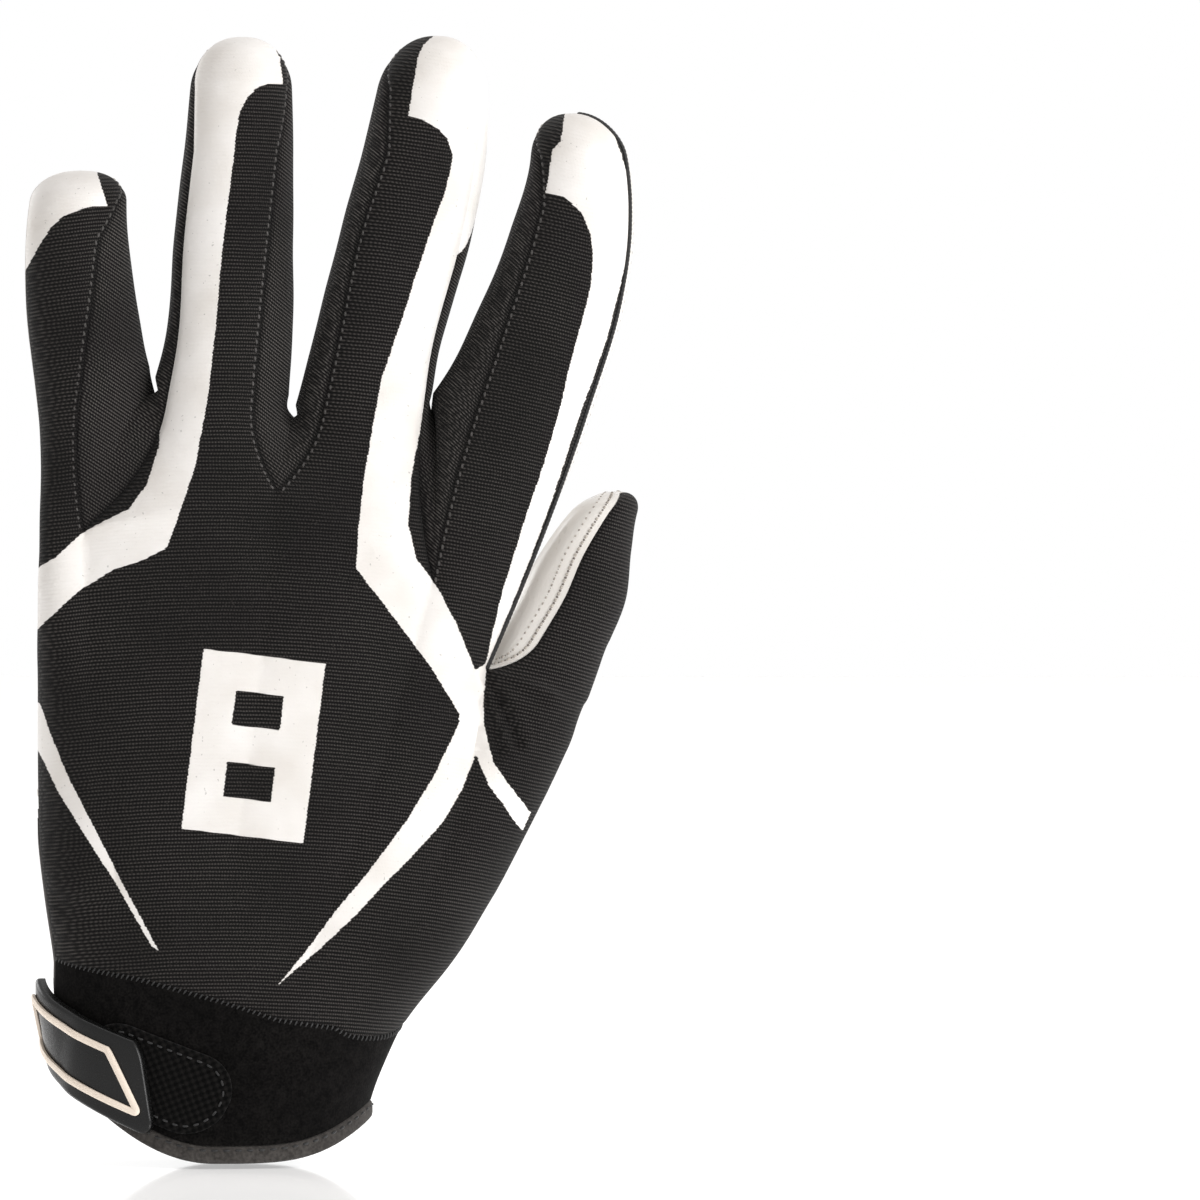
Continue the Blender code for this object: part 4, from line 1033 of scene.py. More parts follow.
@functools.lru_cache(maxsize=None)
def leather_material():
    """White leather with a glossy grip coating; by its seams it is painted greyer, as painted shade."""
    material, tree, shader = start_material(
        "coated_leather", Roughness=0.36, Coat_Weight=0.35, Coat_Roughness=0.22, Subsurface_Weight=0.0)
    vector = object_place(tree)
    grain = use_group(tree, grain_group(), Vector=vector, Scale=1100.0)
    streak = node(tree, "ShaderNodeMapping", {"Vector": vector, "Scale": (260.0, 260.0, 40.0),
                                             "Rotation": (0.0, 0.6, 0.0)}).outputs[0]
    streaks = noise(tree, streak, 1.0)
    cloudy = ramp(tree, grain.outputs["Shade"], 0.35, 0.7)
    base = mix(tree, cloudy, tint("leather_white"), tint("leather_warm_and_seam_shade"))
    dirt = ramp(tree, noise(tree, vector, 800.0), 0.66, 0.74, 0.0, 0.35)
    base = mix(tree, dirt, base, tint("leather_shade"))
    # Painted shade: the leather is mixed towards the warm grey within two millimetres of its seams
    edge = ramp(tree, read_attribute(tree, "seam"), 0.0, 0.0018, 0.35, 0.0)
    base = mix(tree, edge, base, tint("leather_warm_and_seam_shade"))
    tree.links.new(base, shader.inputs["Base Color"])
    tree.links.new(ramp(tree, streaks, 0.3, 0.7, 0.24, 0.48), shader.inputs["Roughness"])
    height = calc(tree, "ADD", grain.outputs["Height"], calc(tree, "MULTIPLY", streaks, 0.8))
    bump(tree, shader, height, 0.00012, 0.6)
    return material


@functools.lru_cache(maxsize=None)
def cloth_material(name, dark, light, scale, roughness, depth, sheen, shine):
    """Plain cloth: a grain of fibres over one shade that varies slowly."""
    material, tree, shader = start_material(
        name, Roughness=roughness, Sheen_Weight=sheen, Sheen_Roughness=0.6, Specular_IOR_Level=shine)
    vector = object_place(tree)
    grain = use_group(tree, grain_group(), Vector=vector, Scale=scale)
    base = mix(tree, ramp(tree, grain.outputs["Height"], 0.38, 0.66), tint(dark), tint(light))
    base = mix(tree, ramp(tree, grain.outputs["Shade"], 0.35, 0.7, 0.0, 0.4), base, tint(dark))
    tree.links.new(base, shader.inputs["Base Color"])
    bump(tree, shader, grain.outputs["Height"], depth)
    return material


@functools.lru_cache(maxsize=None)
def loop_material():
    """Loop pile: rows of small round loops on the piece's own map, their tops painted lighter and the gaps
    between them darker, as painted light and shade.
    """
    material, tree, shader = start_material("loop_pile", Roughness=0.95, Sheen_Weight=0.03,
                                            Sheen_Roughness=0.6, Specular_IOR_Level=0.05)
    along = read_attribute(tree, "along")
    up = read_attribute(tree, "up")
    first = calc(tree, "SINE", calc(tree, "MULTIPLY", along, 2 * math.pi / 0.0018))
    second = calc(tree, "SINE", calc(tree, "MULTIPLY", up, 2 * math.pi / 0.0018))
    dots = ramp(tree, calc(tree, "MULTIPLY", first, second), -0.5, 0.9)
    vector = object_place(tree)
    fuzz = noise(tree, vector, 2400.0)
    height = calc(tree, "ADD", dots, calc(tree, "MULTIPLY", fuzz, 0.6))
    # Painted light and shade: the loops' tops are lighter and the gaps between them darker
    base = mix(tree, ramp(tree, height, 0.3, 1.3), tint("pile_shade_between_loops"), tint("pile_lit_tops"))
    tree.links.new(base, shader.inputs["Base Color"])
    bump(tree, shader, height, 0.00025)
    return material


@functools.lru_cache(maxsize=None)
def rubber_material(name, shade, roughness):
    """Moulded rubber: satin, with a fine bloom and faint moulding grain."""
    material, tree, shader = start_material(name, Roughness=roughness, Specular_IOR_Level=0.22,
                                            Coat_Weight=0.05, Coat_Roughness=0.2)
    vector = object_place(tree)
    grain = use_group(tree, grain_group(), Vector=vector, Scale=1800.0)
    light = tint(shade, 1.25, 0.006)
    base = mix(tree, ramp(tree, grain.outputs["Shade"], 0.3, 0.75), tint(shade), light)
    tree.links.new(base, shader.inputs["Base Color"])
    tree.links.new(ramp(tree, grain.outputs["Height"], 0.3, 0.7, roughness - 0.06, roughness + 0.08),
                   shader.inputs["Roughness"])
    bump(tree, shader, grain.outputs["Height"], 0.00004)
    return material


def thread_material(name, shade):
    """Sewing thread: twisted strands along each stitch."""
    material, tree, shader = start_material(name, Roughness=0.6, Sheen_Weight=0.2, Sheen_Roughness=0.4)
    vector = object_place(tree)
    grain = use_group(tree, grain_group(), Vector=vector, Scale=3600.0)
    base = mix(tree, ramp(tree, grain.outputs["Height"], 0.35, 0.6), tint(shade, 0.55), tint(shade))
    tree.links.new(base, shader.inputs["Base Color"])
    bump(tree, shader, grain.outputs["Height"], 0.00006)
    return material


def sweep(path, outward, half_width, half_thickness, sides, closed):
    """Sweep a rounded flat section along a path, mitred at its bends, with flat ends."""
    ahead = np.roll(path, -1, axis=0) - path
    if not closed:
        ahead[-1] = ahead[-2]
    across = unit(np.cross(ahead, outward))
    before = np.roll(across, 1, axis=0)
    if not closed:
        before[0] = across[0]
    across = (across + before) / np.maximum(1 + np.sum(across * before, axis=1, keepdims=True), 0.6)
    turn = (np.arange(sides) + 0.5) * 2 * math.pi / sides
    flat = np.abs(np.cos(turn)) ** TAPE_SQUARENESS * np.sign(np.cos(turn))
    thick = np.abs(np.sin(turn)) ** TAPE_SQUARENESS * np.sign(np.sin(turn))
    half_width = np.broadcast_to(half_width, len(path))
    rings = (path[:, None] + across[:, None] * (half_width[:, None] * flat)[..., None]
             + outward[:, None] * (half_thickness * thick)[None, :, None])
    faces = grid_faces(len(path), sides, closed=True)
    if closed:
        last = (len(path) - 1) * sides + np.arange(sides)
        first = np.arange(sides)
        join = np.stack([last, np.roll(last, -1), np.roll(first, -1), first], axis=-1)
        return rings.reshape(-1, 3), np.concatenate([faces, join])[:, ::-1]
    centres = np.stack([path[0], path[-1]])
    count = len(path) * sides
    first = np.arange(sides)
    last = count - sides + first
    caps = np.concatenate([np.stack([np.full(sides, count), np.roll(first, -1), first, first], -1),
                           np.stack([np.full(sides, count + 1), last, np.roll(last, -1),
                                     np.roll(last, -1)], -1)])
    faces = halves(np.concatenate([faces, caps]))[:, ::-1]
    return np.concatenate([rings.reshape(-1, 3), centres]), faces


def tape_path():
    """Lead the tape down one side of the slit, round the cuff's lower edge and up the other."""
    _, legs, feet = glove_patches()
    middle = (legs[0][-1, 1] + legs[1][-1, 1]) / 2
    low = feet[3:-3].copy()
    low[:, 2] -= (TAPE_WIDTH + SEAM_GAP) / 2
    sides = []
    for leg, foot, sign in zip(legs, (feet[0], feet[-1]), (-1, 1)):
        whole = leg[::ROW_FINE]
        start = whole[0] + (whole[1] - whole[0]) * TAPE_START
        edge = np.concatenate([[start], whole[1:-1]])
        reach = np.abs(edge[:, 1] - middle)
        inner = np.minimum(SLIT_OPENING / 2, TAPE_OPEN_SHARE * reach)
        outer = reach - 1.5 * SEAM_GAP
        outer[:2] -= TAPE_EASE * np.minimum(reach[:2] / reach[1], 1)
        edge[:, 1] = middle + sign * (inner + outer) / 2
        corner = edge[-1].copy()
        corner[2] = foot[2] - (TAPE_WIDTH + SEAM_GAP) / 2 + 0.0012
        points = np.concatenate([edge, [corner]])
        half = np.append((outer - inner) / 2, TAPE_WIDTH / 2)
        at = np.linspace(0, len(points) - 1, (len(points) - 1) * ROW_FINE + 1)
        sides.append((smooth(at, np.arange(len(points)), points), smooth(at, np.arange(len(points)), half)))
    path = np.concatenate([sides[0][0], low, sides[1][0][::-1]])
    widths = np.concatenate([sides[0][1], np.full(len(low), TAPE_WIDTH / 2), sides[1][1][::-1]])
    outward = cuff_outward(cuff_angle(path))
    return path - outward * CUFF_WALL / 2, outward, widths


def closure_point(along, up, lift):
    """Lay a point of the closure on the cuff: along and up in the closure's own slant."""
    slant = math.radians(CLOSURE_SLANT)
    around = along * math.cos(slant) + up * math.sin(slant)
    height = CLOSURE_HEIGHT - along * math.sin(slant) + up * math.cos(slant)
    angle = math.radians(CLOSURE_ANGLE) + around / (WRIST_WIDTH / 2)
    return cuff_point(angle, height) + cuff_outward(angle) * np.asarray(lift)[..., None]


def band(left, right, low, high, slant, corner, inset, steps=90, rises=28):
    """Give a plate's grid: a band with a leaning, rounded right end, drawn in by inset.

    Near an end the half height shrinks by a quarter round of the corner's size, and the
    right half leans by slant from top to bottom.
    """
    share = 0.5 - 0.5 * np.cos(np.linspace(0, math.pi, steps + 1))[:, None]
    rise = np.linspace(-1, 1, rises + 1)[None, :]
    left = left + inset
    right = right - inset
    corner = max(corner - inset, 0.0004)
    along = left + (right - left) * share
    to_end = np.minimum(along - left, right - along)
    shrink = corner * (1 - np.sqrt(1 - np.clip(1 - to_end / corner, 0, 1)**2 * 0.96))
    half = (high - low) / 2 - inset - shrink
    up = (low + high) / 2 + half * rise
    lean = np.clip(share * 2 - 1, 0, 1) ** 1.5
    return along - slant * lean * (up - low) / (high - low), up


def grid_border(grid):
    """Give the values round the border of a grid, in order."""
    return np.concatenate([grid[:-1, 0], grid[-1, :-1], grid[:0:-1, -1], grid[0, :0:-1]])


def plate(shape, lift_at, thickness, bevel):
    """Make a plate that follows the cuff, its upper edge rounded in a quarter turn."""
    along, up = band(*shape, 0)
    rows, columns = along.shape
    quads = grid_faces(rows, columns)[:, ::-1]
    loop = grid_border(np.arange(rows * columns).reshape(rows, columns))
    rings = []
    spots = []
    turns = np.linspace(0, math.pi / 2, 7)
    for turn in turns:
        a, u = band(*shape, bevel * (1 - math.cos(turn)))
        lift = lift_at(a) + thickness - bevel * (1 - math.sin(turn))
        rings.append(closure_point(a, u, lift).reshape(-1, 3)[loop])
        spots.append((a.ravel()[loop], u.ravel()[loop]))
    a, u = band(*shape, bevel)
    top = closure_point(a, u, lift_at(a) + thickness).reshape(-1, 3)
    base = closure_point(along, up, lift_at(along)).reshape(-1, 3)
    points = np.concatenate([base, top] + rings[:-1])
    values = {"along": np.concatenate([along.ravel(), a.ravel()] + [spot[0] for spot in spots[:-1]]),
              "up": np.concatenate([up.ravel(), u.ravel()] + [spot[1] for spot in spots[:-1]])}
    count = rows * columns
    length = len(loop)
    rows_of_loop = [loop] + [2 * count + i * length + np.arange(length) for i in range(6)] + [loop + count]
    faces = [quads[:, ::-1], quads + count]
    for lower, upper in zip(rows_of_loop[:-1], rows_of_loop[1:]):
        faces.append(np.stack([lower, np.roll(lower, -1), np.roll(upper, -1), upper], axis=-1))
    return points, halves(np.concatenate(faces)), values


def tab_lift(along):
    """Give the height of the tab's lower face over the cuff: it climbs onto the loop patch."""
    climb = np.clip((along - PATCH_LEFT + TAB_CLIMB) / TAB_CLIMB, 0, 1)
    return TAB_LIFT_SLIT + (PATCH_THICKNESS + 2 * LAY_GAP - TAB_LIFT_SLIT) * climb**2 * (3 - 2 * climb)


def even_path(points, pitch, shift=0.5):
    """Give places at equal pitch along a polyline, and the direction at each."""
    lengths = np.concatenate([[0], np.cumsum(np.linalg.norm(np.diff(points, axis=0), axis=1))])
    count = max(int(lengths[-1] / pitch), 1)
    at = (np.arange(count) + shift) * lengths[-1] / count
    spots = np.stack([np.interp(at, lengths, points[:, i]) for i in range(3)], axis=-1)
    ahead = np.stack([np.interp(at + pitch / 2, lengths, points[:, i]) for i in range(3)], axis=-1)
    behind = np.stack([np.interp(at - pitch / 2, lengths, points[:, i]) for i in range(3)], axis=-1)
    return spots, unit(ahead - behind), at


def stitch_row(path, normals, pitch, length, radius, sink=0.3, turn=0.0, shift=0.5):
    """Lay stitches along a path: each a capsule that arcs out of the cloth at its middle."""
    spots, ahead, at = even_path(path, pitch, shift)
    lengths = np.concatenate([[0], np.cumsum(np.linalg.norm(np.diff(path, axis=0), axis=1))])
    outward = unit(np.stack([np.interp(at, lengths, normals[:, i]) for i in range(3)], axis=-1))
    across = unit(np.cross(outward, ahead))
    ahead = unit(ahead * math.cos(turn) + across * math.sin(turn))
    across = unit(np.cross(outward, ahead))
    t = np.linspace(-1, 1, 7)
    size = np.sqrt(np.clip(1 - np.abs(t) ** 3, 0.02, 1)) * radius
    turns = np.arange(6) * 2 * math.pi / 6
    x = (t * length / 2)[:, None] + 0 * turns
    y = size[:, None] * np.cos(turns)
    z = size[:, None] * np.sin(turns) + (radius * (0.5 - sink) - radius * 1.2 * np.abs(t) ** 3)[:, None]
    form = np.stack([x, y, z], axis=-1).reshape(-1, 3)
    points = (spots[:, None] + ahead[:, None] * form[None, :, :1] + across[:, None] * form[None, :, 1:2]
              + outward[:, None] * form[None, :, 2:])
    quads = grid_faces(len(t), 6, closed=True)
    ends = np.array([[0, 5, 4, 3], [0, 3, 2, 1], [36, 37, 38, 39], [36, 39, 40, 41]])
    single = np.concatenate([quads, ends])
    faces = single[None] + (np.arange(len(spots)) * len(form))[:, None, None]
    return points.reshape(-1, 3), faces.reshape(-1, 4)


def join(parts):
    """Join lists of points and faces into one."""
    points = []
    faces = []
    count = 0
    for block, own in parts:
        points.append(block)
        faces.append(own + count)
        count += len(block)
    return np.concatenate(points), np.concatenate(faces)


def inset_line(name, number, side, distance, first, last):
    """Give a line on a panel's strip at a distance from its seam, with outward normals.

    The places are read along each row of the grid, by the length walked from the seam.
    """
    grid = [g for owner, g, _ in glove_patches()[0] if owner == name][number]
    rows = grid[first:last]
    if side == "right":
        rows = rows[:, ::-1]
    lengths = np.cumsum(np.linalg.norm(np.diff(rows, axis=1), axis=2), axis=1)
    wanted = np.minimum(distance, lengths[:, -1] * 0.45)
    column = (lengths < wanted[:, None]).sum(1)
    column = np.minimum(column, lengths.shape[1] - 1)
    index = np.arange(len(rows))
    before = np.where(column > 0, lengths[index, np.maximum(column - 1, 0)], 0)
    share = (wanted - before) / np.maximum(lengths[index, column] - before, 1e-9)
    low = rows[index, column]
    path = low + (rows[index, column + 1] - low) * share[:, None]
    tangent = np.gradient(path, axis=0)
    over = rows[index, np.minimum(column + 2, rows.shape[1] - 1)] - rows[index, np.maximum(column - 1, 0)]
    sign = 1.0 if (side == "left") == (name == "back_panel") else -1.0
    return path, unit(np.cross(over, tangent)) * sign


class GloveLook(bpy.types.PropertyGroup):
    """Colours and fine sizes that a user may change."""

    def shade(label, text, value):
        return bpy.props.FloatVectorProperty(name=label, description=text, subtype="COLOR", size=3,
                                             min=0.0, max=1.0, default=value)

    # Painted light and shade: the ridge colours are the knit as lit on its ridges, brighter still on the
    # gussets; the groove colour is the knit shaded in its grooves and by its seams, and also the dark end of
    # its slow random tone
    knit_top: shade("Knit ridge", "Black of the knit's ridges", (0.066, 0.060, 0.056))
    gusset_lit_ridge: shade("Gusset ridge", "Black of the ridges between the fingers", (0.125, 0.115, 0.108))
    knit_groove: shade("Knit groove", "Black between the ridges", (0.0020, 0.0018, 0.0018))
    knit_fleck: shade("Knit fleck", "Lighter fibres in the knit", (0.070, 0.062, 0.058))
    print_white: shade("Print", "White of the prints", (0.82, 0.80, 0.78))
    print_shade: shade("Print, shaded", "Slightly yellowed print", (0.72, 0.69, 0.655))
    leather_white: shade("Leather", "White of the coated leather", (0.76, 0.735, 0.70))
    # Also painted shade: the leather turns towards this warm grey by its seams; elsewhere it is the
    # leather's random warm tone
    leather_warm_and_seam_shade: shade("Leather, warm", "Warm grey of the leather", (0.70, 0.67, 0.63))
    leather_shade: shade("Leather, dark", "Small marks on the leather", (0.58, 0.54, 0.49))
    cuff_dark: shade("Cuff", "Black of the foam cuff", (0.0010, 0.0009, 0.0009))
    cuff_light: shade("Cuff fibres", "Lighter fibres of the cuff", (0.0090, 0.0082, 0.0078))
    tape_dark: shade("Tape", "Charcoal of the binding tape", (0.030, 0.027, 0.025))
    tape_light: shade("Tape fibres", "Lighter fibres of the tape", (0.070, 0.064, 0.059))
    # Painted light and shade: the pile is darker between its loops and lighter on their tops
    pile_shade_between_loops: shade("Pile, sunk", "Between the loops of the pile", (0.0006, 0.0006, 0.0006))
    pile_lit_tops: shade("Pile", "Tops of the loop pile", (0.0080, 0.0074, 0.0070))
    hole_dark: shade("Needle hole", "Shadow in the needle holes", (0.17, 0.145, 0.125))
    rubber_black: shade("Tab", "Black of the rubber tab", (0.0028, 0.0028, 0.0028))
    rubber_cream: shade("Tab outline", "Cream of the raised outline", (0.80, 0.70, 0.60))
    thread_white: shade("White thread", "Sewing thread on the leather", (0.46, 0.42, 0.37))
    thread_grey: shade("Grey thread", "Sewing thread of the finger seams", (0.050, 0.045, 0.042))
    thread_black: shade("Black thread", "Sewing thread on the cuff", (0.0040, 0.0036, 0.0036))
    rib_pitch: bpy.props.FloatProperty(name="Rib pitch", description="Height of one knit rib", unit="LENGTH",
                                       default=0.00076, min=0.0003, max=0.003)
    stitch_pitch: bpy.props.FloatProperty(name="Stitch pitch", description="Length of one palm stitch",
                                          unit="LENGTH", default=0.0020, min=0.001, max=0.006)
    thumb_pitch: bpy.props.FloatProperty(name="Thumb stitch pitch", description="Length of one thumb stitch",
                                         unit="LENGTH", default=0.0014, min=0.0008, max=0.004)
    del shade


class GLOVE_OT_back(bpy.types.Operator):
    """Make the knit back of the hand with its prints"""
    bl_idname = "glove.back"
    bl_label = "Back panel"

    def execute(self, context):
        make_panel("back_panel", "knit_back", KNIT_WALL, knit_material(True, 0.05))
        return {"FINISHED"}


class GLOVE_OT_palm(bpy.types.Operator):
    """Make the coated leather palm"""
    bl_idname = "glove.palm"
    bl_label = "Palm panel"

    def execute(self, context):
        make_panel("palm_panel", "leather_palm", LEATHER_WALL, leather_material())
        return {"FINISHED"}


class GLOVE_OT_gussets(bpy.types.Operator):
    """Make the three knit gussets between the fingers"""
    bl_idname = "glove.gussets"
    bl_label = "Gussets"

    def execute(self, context):
        for name in ("gusset_little_ring", "gusset_ring_middle", "gusset_middle_index"):
            printed = name == "gusset_middle_index"
            make_panel(name, name + "_knit", GUSSET_WALL, knit_material(printed, 0.8))
        return {"FINISHED"}


class GLOVE_OT_cuff(bpy.types.Operator):
    """Make the foam cuff and its binding tape"""
    bl_idname = "glove.cuff"
    bl_label = "Cuff and tape"

    def execute(self, context):
        foam = cloth_material("foam_cloth", "cuff_dark", "cuff_light", 2200.0, 0.95, 0.00010, 0.02, 0.05)
        make_panel("cuff", "foam_cuff", CUFF_WALL, foam)
        woven = cloth_material("woven_tape", "tape_dark", "tape_light", 1500.0, 0.85, 0.00018, 0.05, 0.15)
        path, outward, half_width = tape_path()
        points, faces = sweep(path, outward, half_width, TAPE_THICKNESS / 2, 16, False)
        body = new_mesh("binding_tape", points, faces, woven, sharp=70)
        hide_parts("edge_tape")
        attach(body, "root")
        return {"FINISHED"}


class GLOVE_OT_closure(bpy.types.Operator):
    """Make the rubber tab, its raised outline and the loop patch"""
    bl_idname = "glove.closure"
    bl_label = "Closure"

    def execute(self, context):
        half = TAB_HEIGHT / 2
        shape = (TAB_LEFT, TAB_RIGHT, -half, half, TAB_LEAN, TAB_CORNER * 1.8)
        points, faces, values = plate(shape, tab_lift, TAB_THICKNESS, TAB_BEVEL)
        rubber = rubber_material("black_rubber", "rubber_black", 0.26)
        tab = new_mesh("rubber_tab", points, faces, rubber, values)
        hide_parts("closure_tab")
        inset = TAB_RIM + OUTLINE_WIDTH / 2
        along, up = band(TAB_LEFT + inset, TAB_RIGHT - inset * 1.3, inset - half, half - inset, TAB_LEAN,
                         OUTLINE_CORNER, 0)
        loop_along = grid_border(along)
        loop_up = grid_border(up)
        lift = tab_lift(loop_along) + TAB_THICKNESS + LAY_GAP / 2 + OUTLINE_THICKNESS / 2
        path = closure_point(loop_along, loop_up, lift)
        outward = unit(closure_point(loop_along, loop_up, lift + TAB_THICKNESS) - path)
        points, faces = sweep(path, outward, OUTLINE_WIDTH / 2, OUTLINE_THICKNESS / 2 + LAY_GAP / 2, 8, True)
        cream = rubber_material("cream_rubber", "rubber_cream", 0.42)
        rim = new_mesh("tab_raised_outline", points, faces, cream)
        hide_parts("tab_outline")
        shape = (PATCH_LEFT, PATCH_RIGHT, PATCH_LOW, PATCH_HIGH, 0, PATCH_CORNER)
        points, faces, values = plate(shape, lambda a: LAY_GAP + 0 * a, PATCH_THICKNESS, 0.0005)
        patch = new_mesh("loop_patch_pile", points, faces, loop_material(), values)
        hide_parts("loop_patch")
        for body in (tab, rim, patch):
            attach(body, "root")
        return {"FINISHED"}


class GLOVE_OT_stitches(bpy.types.Operator):
    """Sew the seams: white thread on the leather, grey on the fingers, black on the cuff"""
    bl_idname = "glove.stitches"
    bl_label = "Stitches"

    def execute(self, context):
        look = context.scene.glove_look
        fork = HAND_STEPS * ROW_FINE
        tip = (HAND_STEPS + FORK_STEPS + SHAFT_STEPS + DOME_STEPS) * ROW_FINE - 3
        white = []
        holes = []

        def sew(number, side, distance, first, last, pitch, share, radius):
            """Lay a row of white stitches on the palm, with a dark capsule between two as the painted shadow
            in a needle hole.
            """
            path, normals = inset_line("palm_panel", number, side, distance, first, last)
            lift = path + normals * THREAD_LIFT
            white.append(stitch_row(lift, normals, pitch, pitch * share, radius))
            # Painted shadow: a small dark capsule between two stitches stands for the shade in a needle hole
            holes.append(stitch_row(lift, normals, pitch, radius * 1.9, radius * 0.9, sink=0.75, shift=0.0))

        for number in range(4):
            for side in ("left", "right"):
                first = 0 if (number, side) == (0, "left") else fork
                distance = STITCH_EDGE_SEEN.get((number, side), STITCH_EDGE)
                last = tip - TIP_ROWS_LEFT
                sew(number, side, distance, first, last, look.stitch_pitch, PALM_FILL, PALM_THREAD)
        sew(4, "right", STITCH_EDGE_THUMB, 0, tip, look.stitch_pitch, PALM_FILL, PALM_THREAD)
        for distance in THUMB_ROWS:
            sew(4, "left", distance, fork + 4, tip - 8, look.thumb_pitch, THUMB_FILL, THUMB_THREAD)
        points, faces = join(holes)
        body = new_mesh("needle_holes", points, faces, thread_material("hole_shadow", "hole_dark"))
        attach(body, "root")
        points, faces = join(white)
        thread = thread_material("white_thread", "thread_white")
        body = new_mesh("white_stitches", points, faces, thread)
        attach(body, "root")
        seam_end = (HAND_STEPS + FORK_STEPS + SHAFT_STEPS + GUSSET_END_ROW) * ROW_FINE
        grey = []
        for number, side in ((0, "right"), (1, "right"), (2, "left"), (3, "left")):
            path, normals = inset_line("back_panel", number, side, SEAM_INSET, fork, seam_end)
            grey.append(stitch_row(path - normals * SEAM_SUNK, normals, *SEAM_ROW, turn=0.25))
        points, faces = join(grey)
        thread = thread_material("grey_thread", "thread_grey")
        body = new_mesh("grey_stitches", points, faces, thread)
        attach(body, "root")
        black = []
        path, normals = inset_line("back_panel", 3, "right", INDEX_INSET, fork, tip)
        black.append(stitch_row(path - normals * INDEX_SUNK, normals, *INDEX_ROW, turn=0.10))
        for owner in ("back_panel", "palm_panel"):
            for number in range(5):
                grid = [g for name, g, _ in glove_patches()[0] if name == owner][number]
                seam = grid[0]
                outward = cuff_outward(cuff_angle(seam))
                black.append(stitch_row(seam - outward * CUFF_SUNK, outward, *CUFF_ROW, turn=1.2))
        path, outward, _ = tape_path()
        count = len(path)
        low = slice(*(int(count * end) for end in TAPE_ROW_ENDS))
        lift = np.array([0, 0, 1.0]) * (TAPE_WIDTH * 0.26)
        front = path[low] + outward[low] * (TAPE_THICKNESS / 2 - 0.00005) + lift
        black.append(stitch_row(front, outward[low], *TAPE_ROW))
        patch_along, patch_up = band(PATCH_LEFT, PATCH_RIGHT, PATCH_LOW, PATCH_HIGH, 0, PATCH_CORNER,
                                     PATCH_ROW_INSET)
        ring = closure_point(grid_border(patch_along), grid_border(patch_up), LAY_GAP + PATCH_THICKNESS)
        outward = cuff_outward(cuff_angle(ring))
        black.append(stitch_row(ring, outward, *PATCH_ROW))
        points, faces = join(black)
        thread = thread_material("black_thread", "thread_black")
        body = new_mesh("black_stitches", points, faces, thread)
        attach(body, "root")
        return {"FINISHED"}


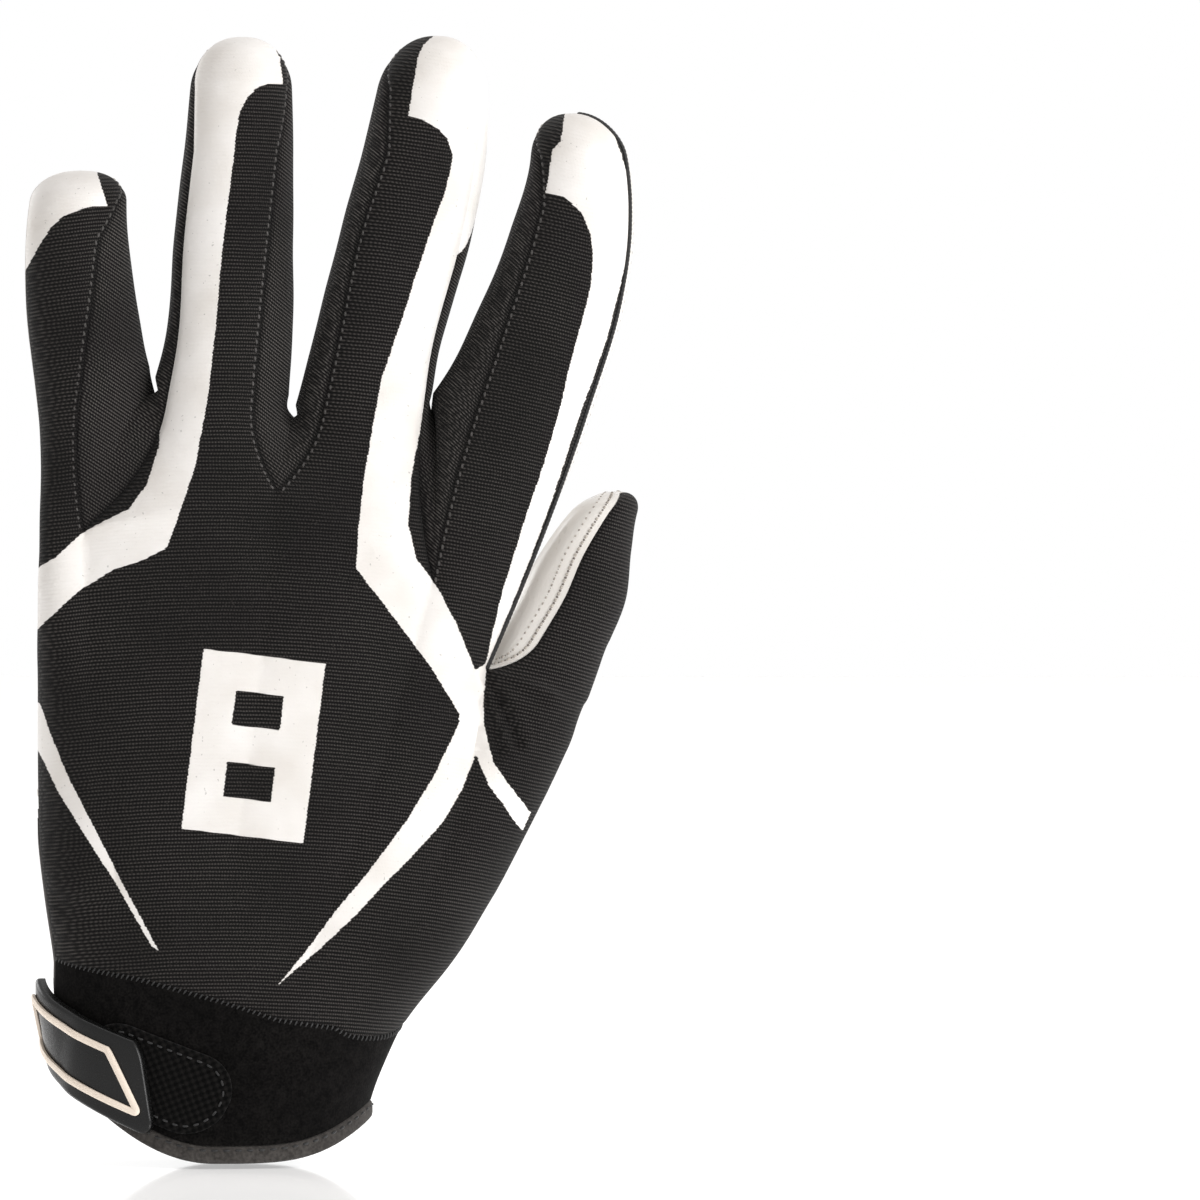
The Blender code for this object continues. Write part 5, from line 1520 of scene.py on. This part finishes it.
class GLOVE_OT_stage(bpy.types.Operator):
    """Set the pale floor, the soft lights and the camera"""
    bl_idname = "glove.stage"
    bl_label = "Stage"

    def execute(self, context):
        scene = context.scene
        material, tree, shader = start_material("pale_floor", Roughness=0.9, Specular_IOR_Level=0.0)
        shader.inputs["Base Color"].default_value = (0.92, 0.92, 0.92, 1)
        shader.inputs["Emission Color"].default_value = (1, 1, 1, 1)
        shader.inputs["Emission Strength"].default_value = 0.80
        mirror = node(tree, "ShaderNodeBsdfGlossy", {"Color": (1, 1, 1, 1), "Roughness": 0.06})
        faint = node(tree, "ShaderNodeMixShader", {0: 0.50, 1: shader.outputs[0], 2: mirror.outputs[0]})
        tree.links.new(faint.outputs[0], tree.nodes["Material Output"].inputs[0])
        foot = CAD_BOX[0][2] - FLOOR_GAP
        side = np.linspace(-FLOOR_HALF, FLOOR_HALF, 9)
        across, depth = np.meshgrid(side, side)
        points = np.stack([across, depth, np.full_like(across, foot)], -1).reshape(-1, 3)
        floor = new_mesh("floor", points, grid_faces(9, 9), material, sharp=89)
        world = bpy.data.worlds.new("studio")
        world.use_nodes = True
        sky = world.node_tree
        soft = sky.nodes["Background"]
        soft.inputs[0].default_value = (1, 0.93, 0.87, 1)
        soft.inputs[1].default_value = 0.34
        clean = node(sky, "ShaderNodeBackground", {0: (1, 1, 1, 1), 1: 1.0})
        path = node(sky, "ShaderNodeLightPath")
        direct = calc(sky, "MAXIMUM", path.outputs["Is Camera Ray"], path.outputs["Is Glossy Ray"])
        seen = node(sky, "ShaderNodeMixShader", {0: direct, 1: soft.outputs[0], 2: clean.outputs[0]})
        sky.links.new(seen.outputs[0], sky.nodes["World Output"].inputs[0])
        scene.world = world
        scene.view_settings.view_transform = "Standard"
        target = Vector(LAMP_TARGET)
        for name, spot, size, power in LAMPS:
            data = bpy.data.lights.new(name, "AREA")
            data.size = size
            data.energy = power
            lamp = bpy.data.objects.new(name, data)
            lamp.location = spot
            lamp.rotation_euler = (target - Vector(spot)).to_track_quat("-Z", "Y").to_euler()
            scene.collection.objects.link(lamp)
        view_width = PICTURE_SQUARES * PRINT_SQUARE
        camera = bpy.data.objects.new("camera", bpy.data.cameras.new("camera"))
        camera.data.sensor_width = 36
        camera.data.lens = 36 * CAMERA_AWAY / view_width
        middle = (PICTURE_SQUARES / 2 - PRINT_MIDDLE) * PRINT_SQUARE
        aim = (CAD_BOX[0][0] + CAD_BOX[1][0]) / 2
        camera.data.shift_x = (middle - aim) / view_width
        camera.location = (aim, -CAMERA_AWAY, (PRINT_FOOT - PICTURE_SQUARES / 2) * PRINT_SQUARE)
        camera.rotation_euler = (math.pi / 2, 0, 0)
        camera.data.clip_end = 50
        scene.collection.objects.link(camera)
        scene.camera = camera
        return {"FINISHED"}


class GLOVE_PT_panel(bpy.types.Panel):
    """List the steps and the values of the glove"""
    bl_label = "Receiver glove"
    bl_idname = "GLOVE_PT_panel"
    bl_space_type = "VIEW_3D"
    bl_region_type = "UI"
    bl_category = "Glove"

    def draw(self, context):
        for step in STEPS:
            self.layout.operator(step.bl_idname)
        for name in GloveLook.__annotations__:
            self.layout.prop(context.scene.glove_look, name)


STEPS = (GLOVE_OT_back, GLOVE_OT_palm, GLOVE_OT_gussets, GLOVE_OT_cuff, GLOVE_OT_closure,
         GLOVE_OT_stitches, GLOVE_OT_stage)


def register():
    """Register the values, the steps and the panel."""
    for item in (GloveLook,) + STEPS + (GLOVE_PT_panel,):
        bpy.utils.register_class(item)
    bpy.types.Scene.glove_look = bpy.props.PointerProperty(type=GloveLook)


def unregister():
    """Take the values, the steps and the panel out again."""
    del bpy.types.Scene.glove_look
    for item in reversed((GloveLook,) + STEPS + (GLOVE_PT_panel,)):
        bpy.utils.unregister_class(item)


def main():
    register()
    for step in STEPS:
        group, name = step.bl_idname.split(".")
        getattr(getattr(bpy.ops, group), name)()


if __name__ == "__main__":
    main()
